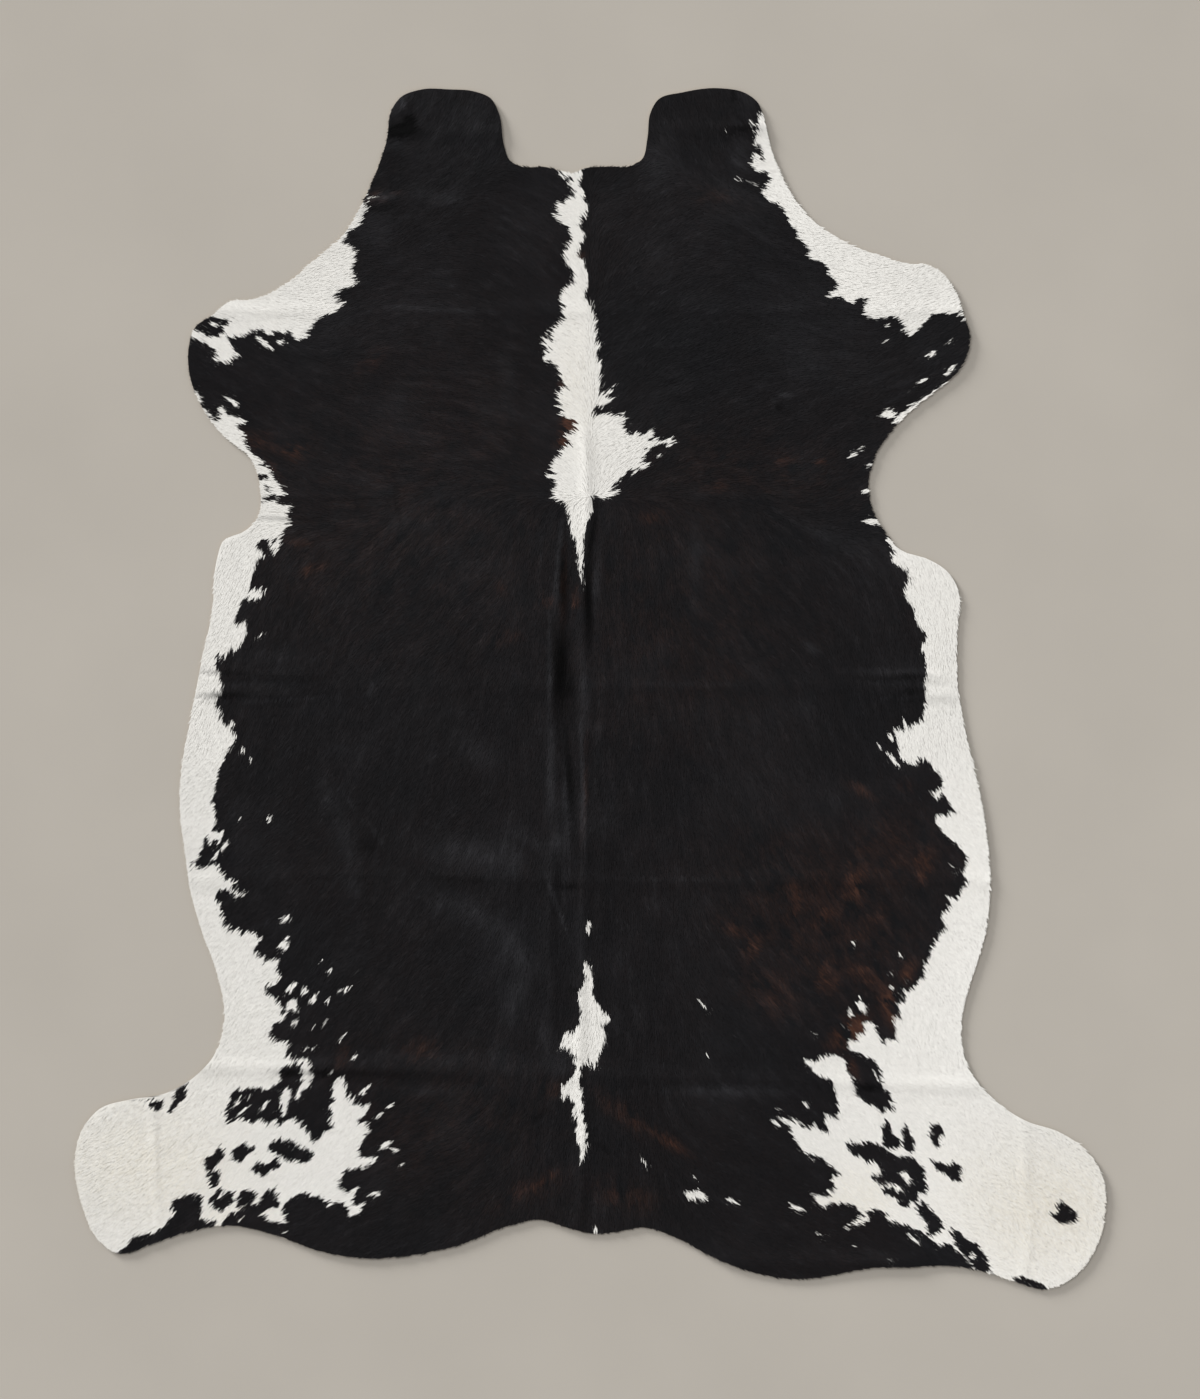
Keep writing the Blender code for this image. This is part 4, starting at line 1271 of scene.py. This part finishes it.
def build_locks(name, locks, leather, material):
    """One mesh of many locks. A lock is a quad from its root to past its middle and a triangle from
    there to its tip. It bends a little to one side, rolls about its own line, and rises from the
    leather, fast at first and then flat. The lowest locks come first, so that a map shows the top."""
    order = np.argsort(locks["rise"])
    lock = {key: values[order, None] for key, values in locks.items()}
    along, across, lift = LOCK_SHAPE.T
    reach = lock["length"] * along
    side = lock["width"] * across + reach * along * np.tan(lock["bend"])
    x = lock["x"] + lock["way_x"] * reach + lock["way_y"] * side
    y = lock["y"] + lock["way_y"] * reach - lock["way_x"] * side
    tilt = lock["width"] * across * np.sin(lock["roll"])
    z = relief(x, y) + leather + lock["rise"] * lift + tilt
    places = np.stack([x, y, z], axis=-1).reshape(-1, 3)
    first = np.arange(len(order))[:, None] * len(LOCK_SHAPE)
    piece, corners = new_piece(name, places, [first + np.array(face) for face in LOCK_FACES], [material])
    low, high = places.min(axis=0), places.max(axis=0)
    set_map(piece.data, "OFBake", ((places - low) / (high - low))[corners, :2])
    offset = np.random.default_rng(len(order)).uniform(0, STRAND_SHIFT, (len(order), 1))
    strand = np.stack([across + offset, along + offset], axis=-1).reshape(-1, 2)
    set_map(piece.data, "lock", strand[corners])
    set_amounts(piece.data, {key: np.repeat(lock[key], len(LOCK_SHAPE)) for key in AMOUNTS})
    return piece


# ---------------------------------------------------------------- operators
# The coat is split by where its roots are, to keep each mesh light. Columns: name, and where its
# stretch of y starts and ends, in millimetres.
COAT_BANDS = [
    ("rump_and_hind_leg", -1200, -380),
    ("belly", -380, 330),
    ("neck_and_foreleg", 330, 1200),
]


def attach(piece):
    """Join a finished piece to the rug's one body, in place of its plain solid."""
    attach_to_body(piece, "root")
    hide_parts("hide")


class COWHIDE_OT_skin(bpy.types.Operator):
    """Build the leather, with its hair side, flesh side and cut edge"""

    bl_idname = "cowhide.skin"
    bl_label = "Skin"

    def execute(self, context):
        colours = context.scene.cowhide_colours
        materials = [hair_on_hide(colours), suede_flesh_side(colours), cut_leather(colours)]
        attach(build_skin(context.scene.cowhide_skin, materials))
        return {"FINISHED"}


class COWHIDE_OT_coat(bpy.types.Operator):
    bl_idname = "cowhide.coat"
    bl_label = "Coat"

    def execute(self, context):
        skin = bpy.data.objects["skin"]
        locks = grow_locks(context.scene.cowhide_hair)
        leather = context.scene.cowhide_skin.thickness
        coat = []
        for band, low, high in COAT_BANDS:
            for half, on_half in (("left", locks["x"] < 0), ("right", locks["x"] >= 0)):
                chosen = on_half & (locks["y"] >= low * MM) & (locks["y"] < high * MM)
                part = {key: values[chosen] for key, values in locks.items()}
                coat.append(
                    build_locks(f"hair_{half}_{band}", part, leather, skin.data.materials[HAIR_SIDE])
                )
                attach(coat[-1])
        x, y = outline_points().T
        return {"FINISHED"}


FLOOR_SPAN = 60.0  # metres; seen from above it fills the image, and seen low it runs far back
FLOOR_GAP = 0.3 * MM  # the floor lies this far under the flesh side, so that the two don't touch
SENSOR = 36 * MM  # Blender's default width of film, which goes with the image's longer side
VIEW_MIDDLE = (0.0177, -0.0195)  # the place on the floor that the camera looks straight down on
# Both lights come from the rug's upper left. Columns: name, setting of its strength, its height
# over the floor and its spread, in degrees, and whether gloss mirrors it. The low light only draws
# the shadow: mirrored, it would turn black hair silver from the side that faces it.
LIGHTS = [
    ("key light", "key_strength", 58, 20, True),
    ("low light", "low_strength", 12, 15, False),
]
LIGHT_TURN = 135  # degrees from +X, seen from above: where the lights stand


class COWHIDE_OT_stage(bpy.types.Operator):
    """Lay the floor, and set the lights and the camera"""

    bl_idname = "cowhide.stage"
    bl_label = "Stage"

    def execute(self, context):
        scene, stage = context.scene, context.scene.cowhide_stage
        half = FLOOR_SPAN / 2
        places = np.array([(-half, -half), (half, -half), (half, half), (-half, half)])
        places = np.column_stack([places, np.full(4, -FLOOR_GAP)])
        floor, _ = new_piece("floor", places, [np.arange(4)[None]], [painted_floor(stage)])

        film = bpy.data.cameras.new("camera")
        film.lens = SENSOR / MM * stage.camera_height / stage.view_height
        camera = bpy.data.objects.new("camera", film)
        camera.location = (*VIEW_MIDDLE, stage.camera_height)
        scene.collection.objects.link(camera)
        scene.camera = camera

        for name, strength, height, spread, mirrored in LIGHTS:
            light = bpy.data.lights.new(name, "SUN")
            light.energy = getattr(stage, strength)
            light.angle = math.radians(spread)
            lamp = bpy.data.objects.new(name, light)
            lamp.rotation_euler = (0, math.radians(90 - height), math.radians(LIGHT_TURN))
            lamp.visible_glossy = mirrored
            scene.collection.objects.link(lamp)

        sky = bpy.data.worlds.new("soft light")
        sky.use_nodes = True
        background = sky.node_tree.nodes["Background"]
        background.inputs["Color"].default_value = (1.0, 0.99, 0.975, 1)
        background.inputs["Strength"].default_value = stage.fill_strength
        scene.world = sky
        scene.view_settings.view_transform = "Standard"
        return {"FINISHED"}


class COWHIDE_PT_rug(bpy.types.Panel):
    """The steps and the settings of the rug"""

    bl_label = "Cowhide rug"
    bl_idname = "COWHIDE_PT_rug"
    bl_space_type = "VIEW_3D"
    bl_region_type = "UI"
    bl_category = "Cowhide rug"

    def draw(self, context):
        for step in STEPS:
            self.layout.operator(step.bl_idname)
        for name, group in SETTINGS.items():
            box = self.layout.box()
            for setting in group.__annotations__:
                box.prop(getattr(context.scene, name), setting)


STEPS = (COWHIDE_OT_skin, COWHIDE_OT_coat, COWHIDE_OT_stage)
SETTINGS = {
    "cowhide_skin": CowhideSkin,
    "cowhide_hair": CowhideHair,
    "cowhide_colours": CowhideColours,
    "cowhide_stage": CowhideStage,
}
CLASSES = (*SETTINGS.values(), *STEPS, COWHIDE_PT_rug)


def register():
    """Make the settings, the steps and the panel known to Blender."""
    for kind in CLASSES:
        bpy.utils.register_class(kind)
    for name, group in SETTINGS.items():
        setattr(bpy.types.Scene, name, PointerProperty(type=group))


def unregister():
    """Take them out again."""
    for name in SETTINGS:
        delattr(bpy.types.Scene, name)
    for kind in reversed(CLASSES):
        bpy.utils.unregister_class(kind)


def main():
    """Build the rug and its stage."""
    register()
    bpy.ops.cowhide.skin()
    bpy.ops.cowhide.coat()
    bpy.ops.cowhide.stage()


if __name__ == "__main__":
    main()
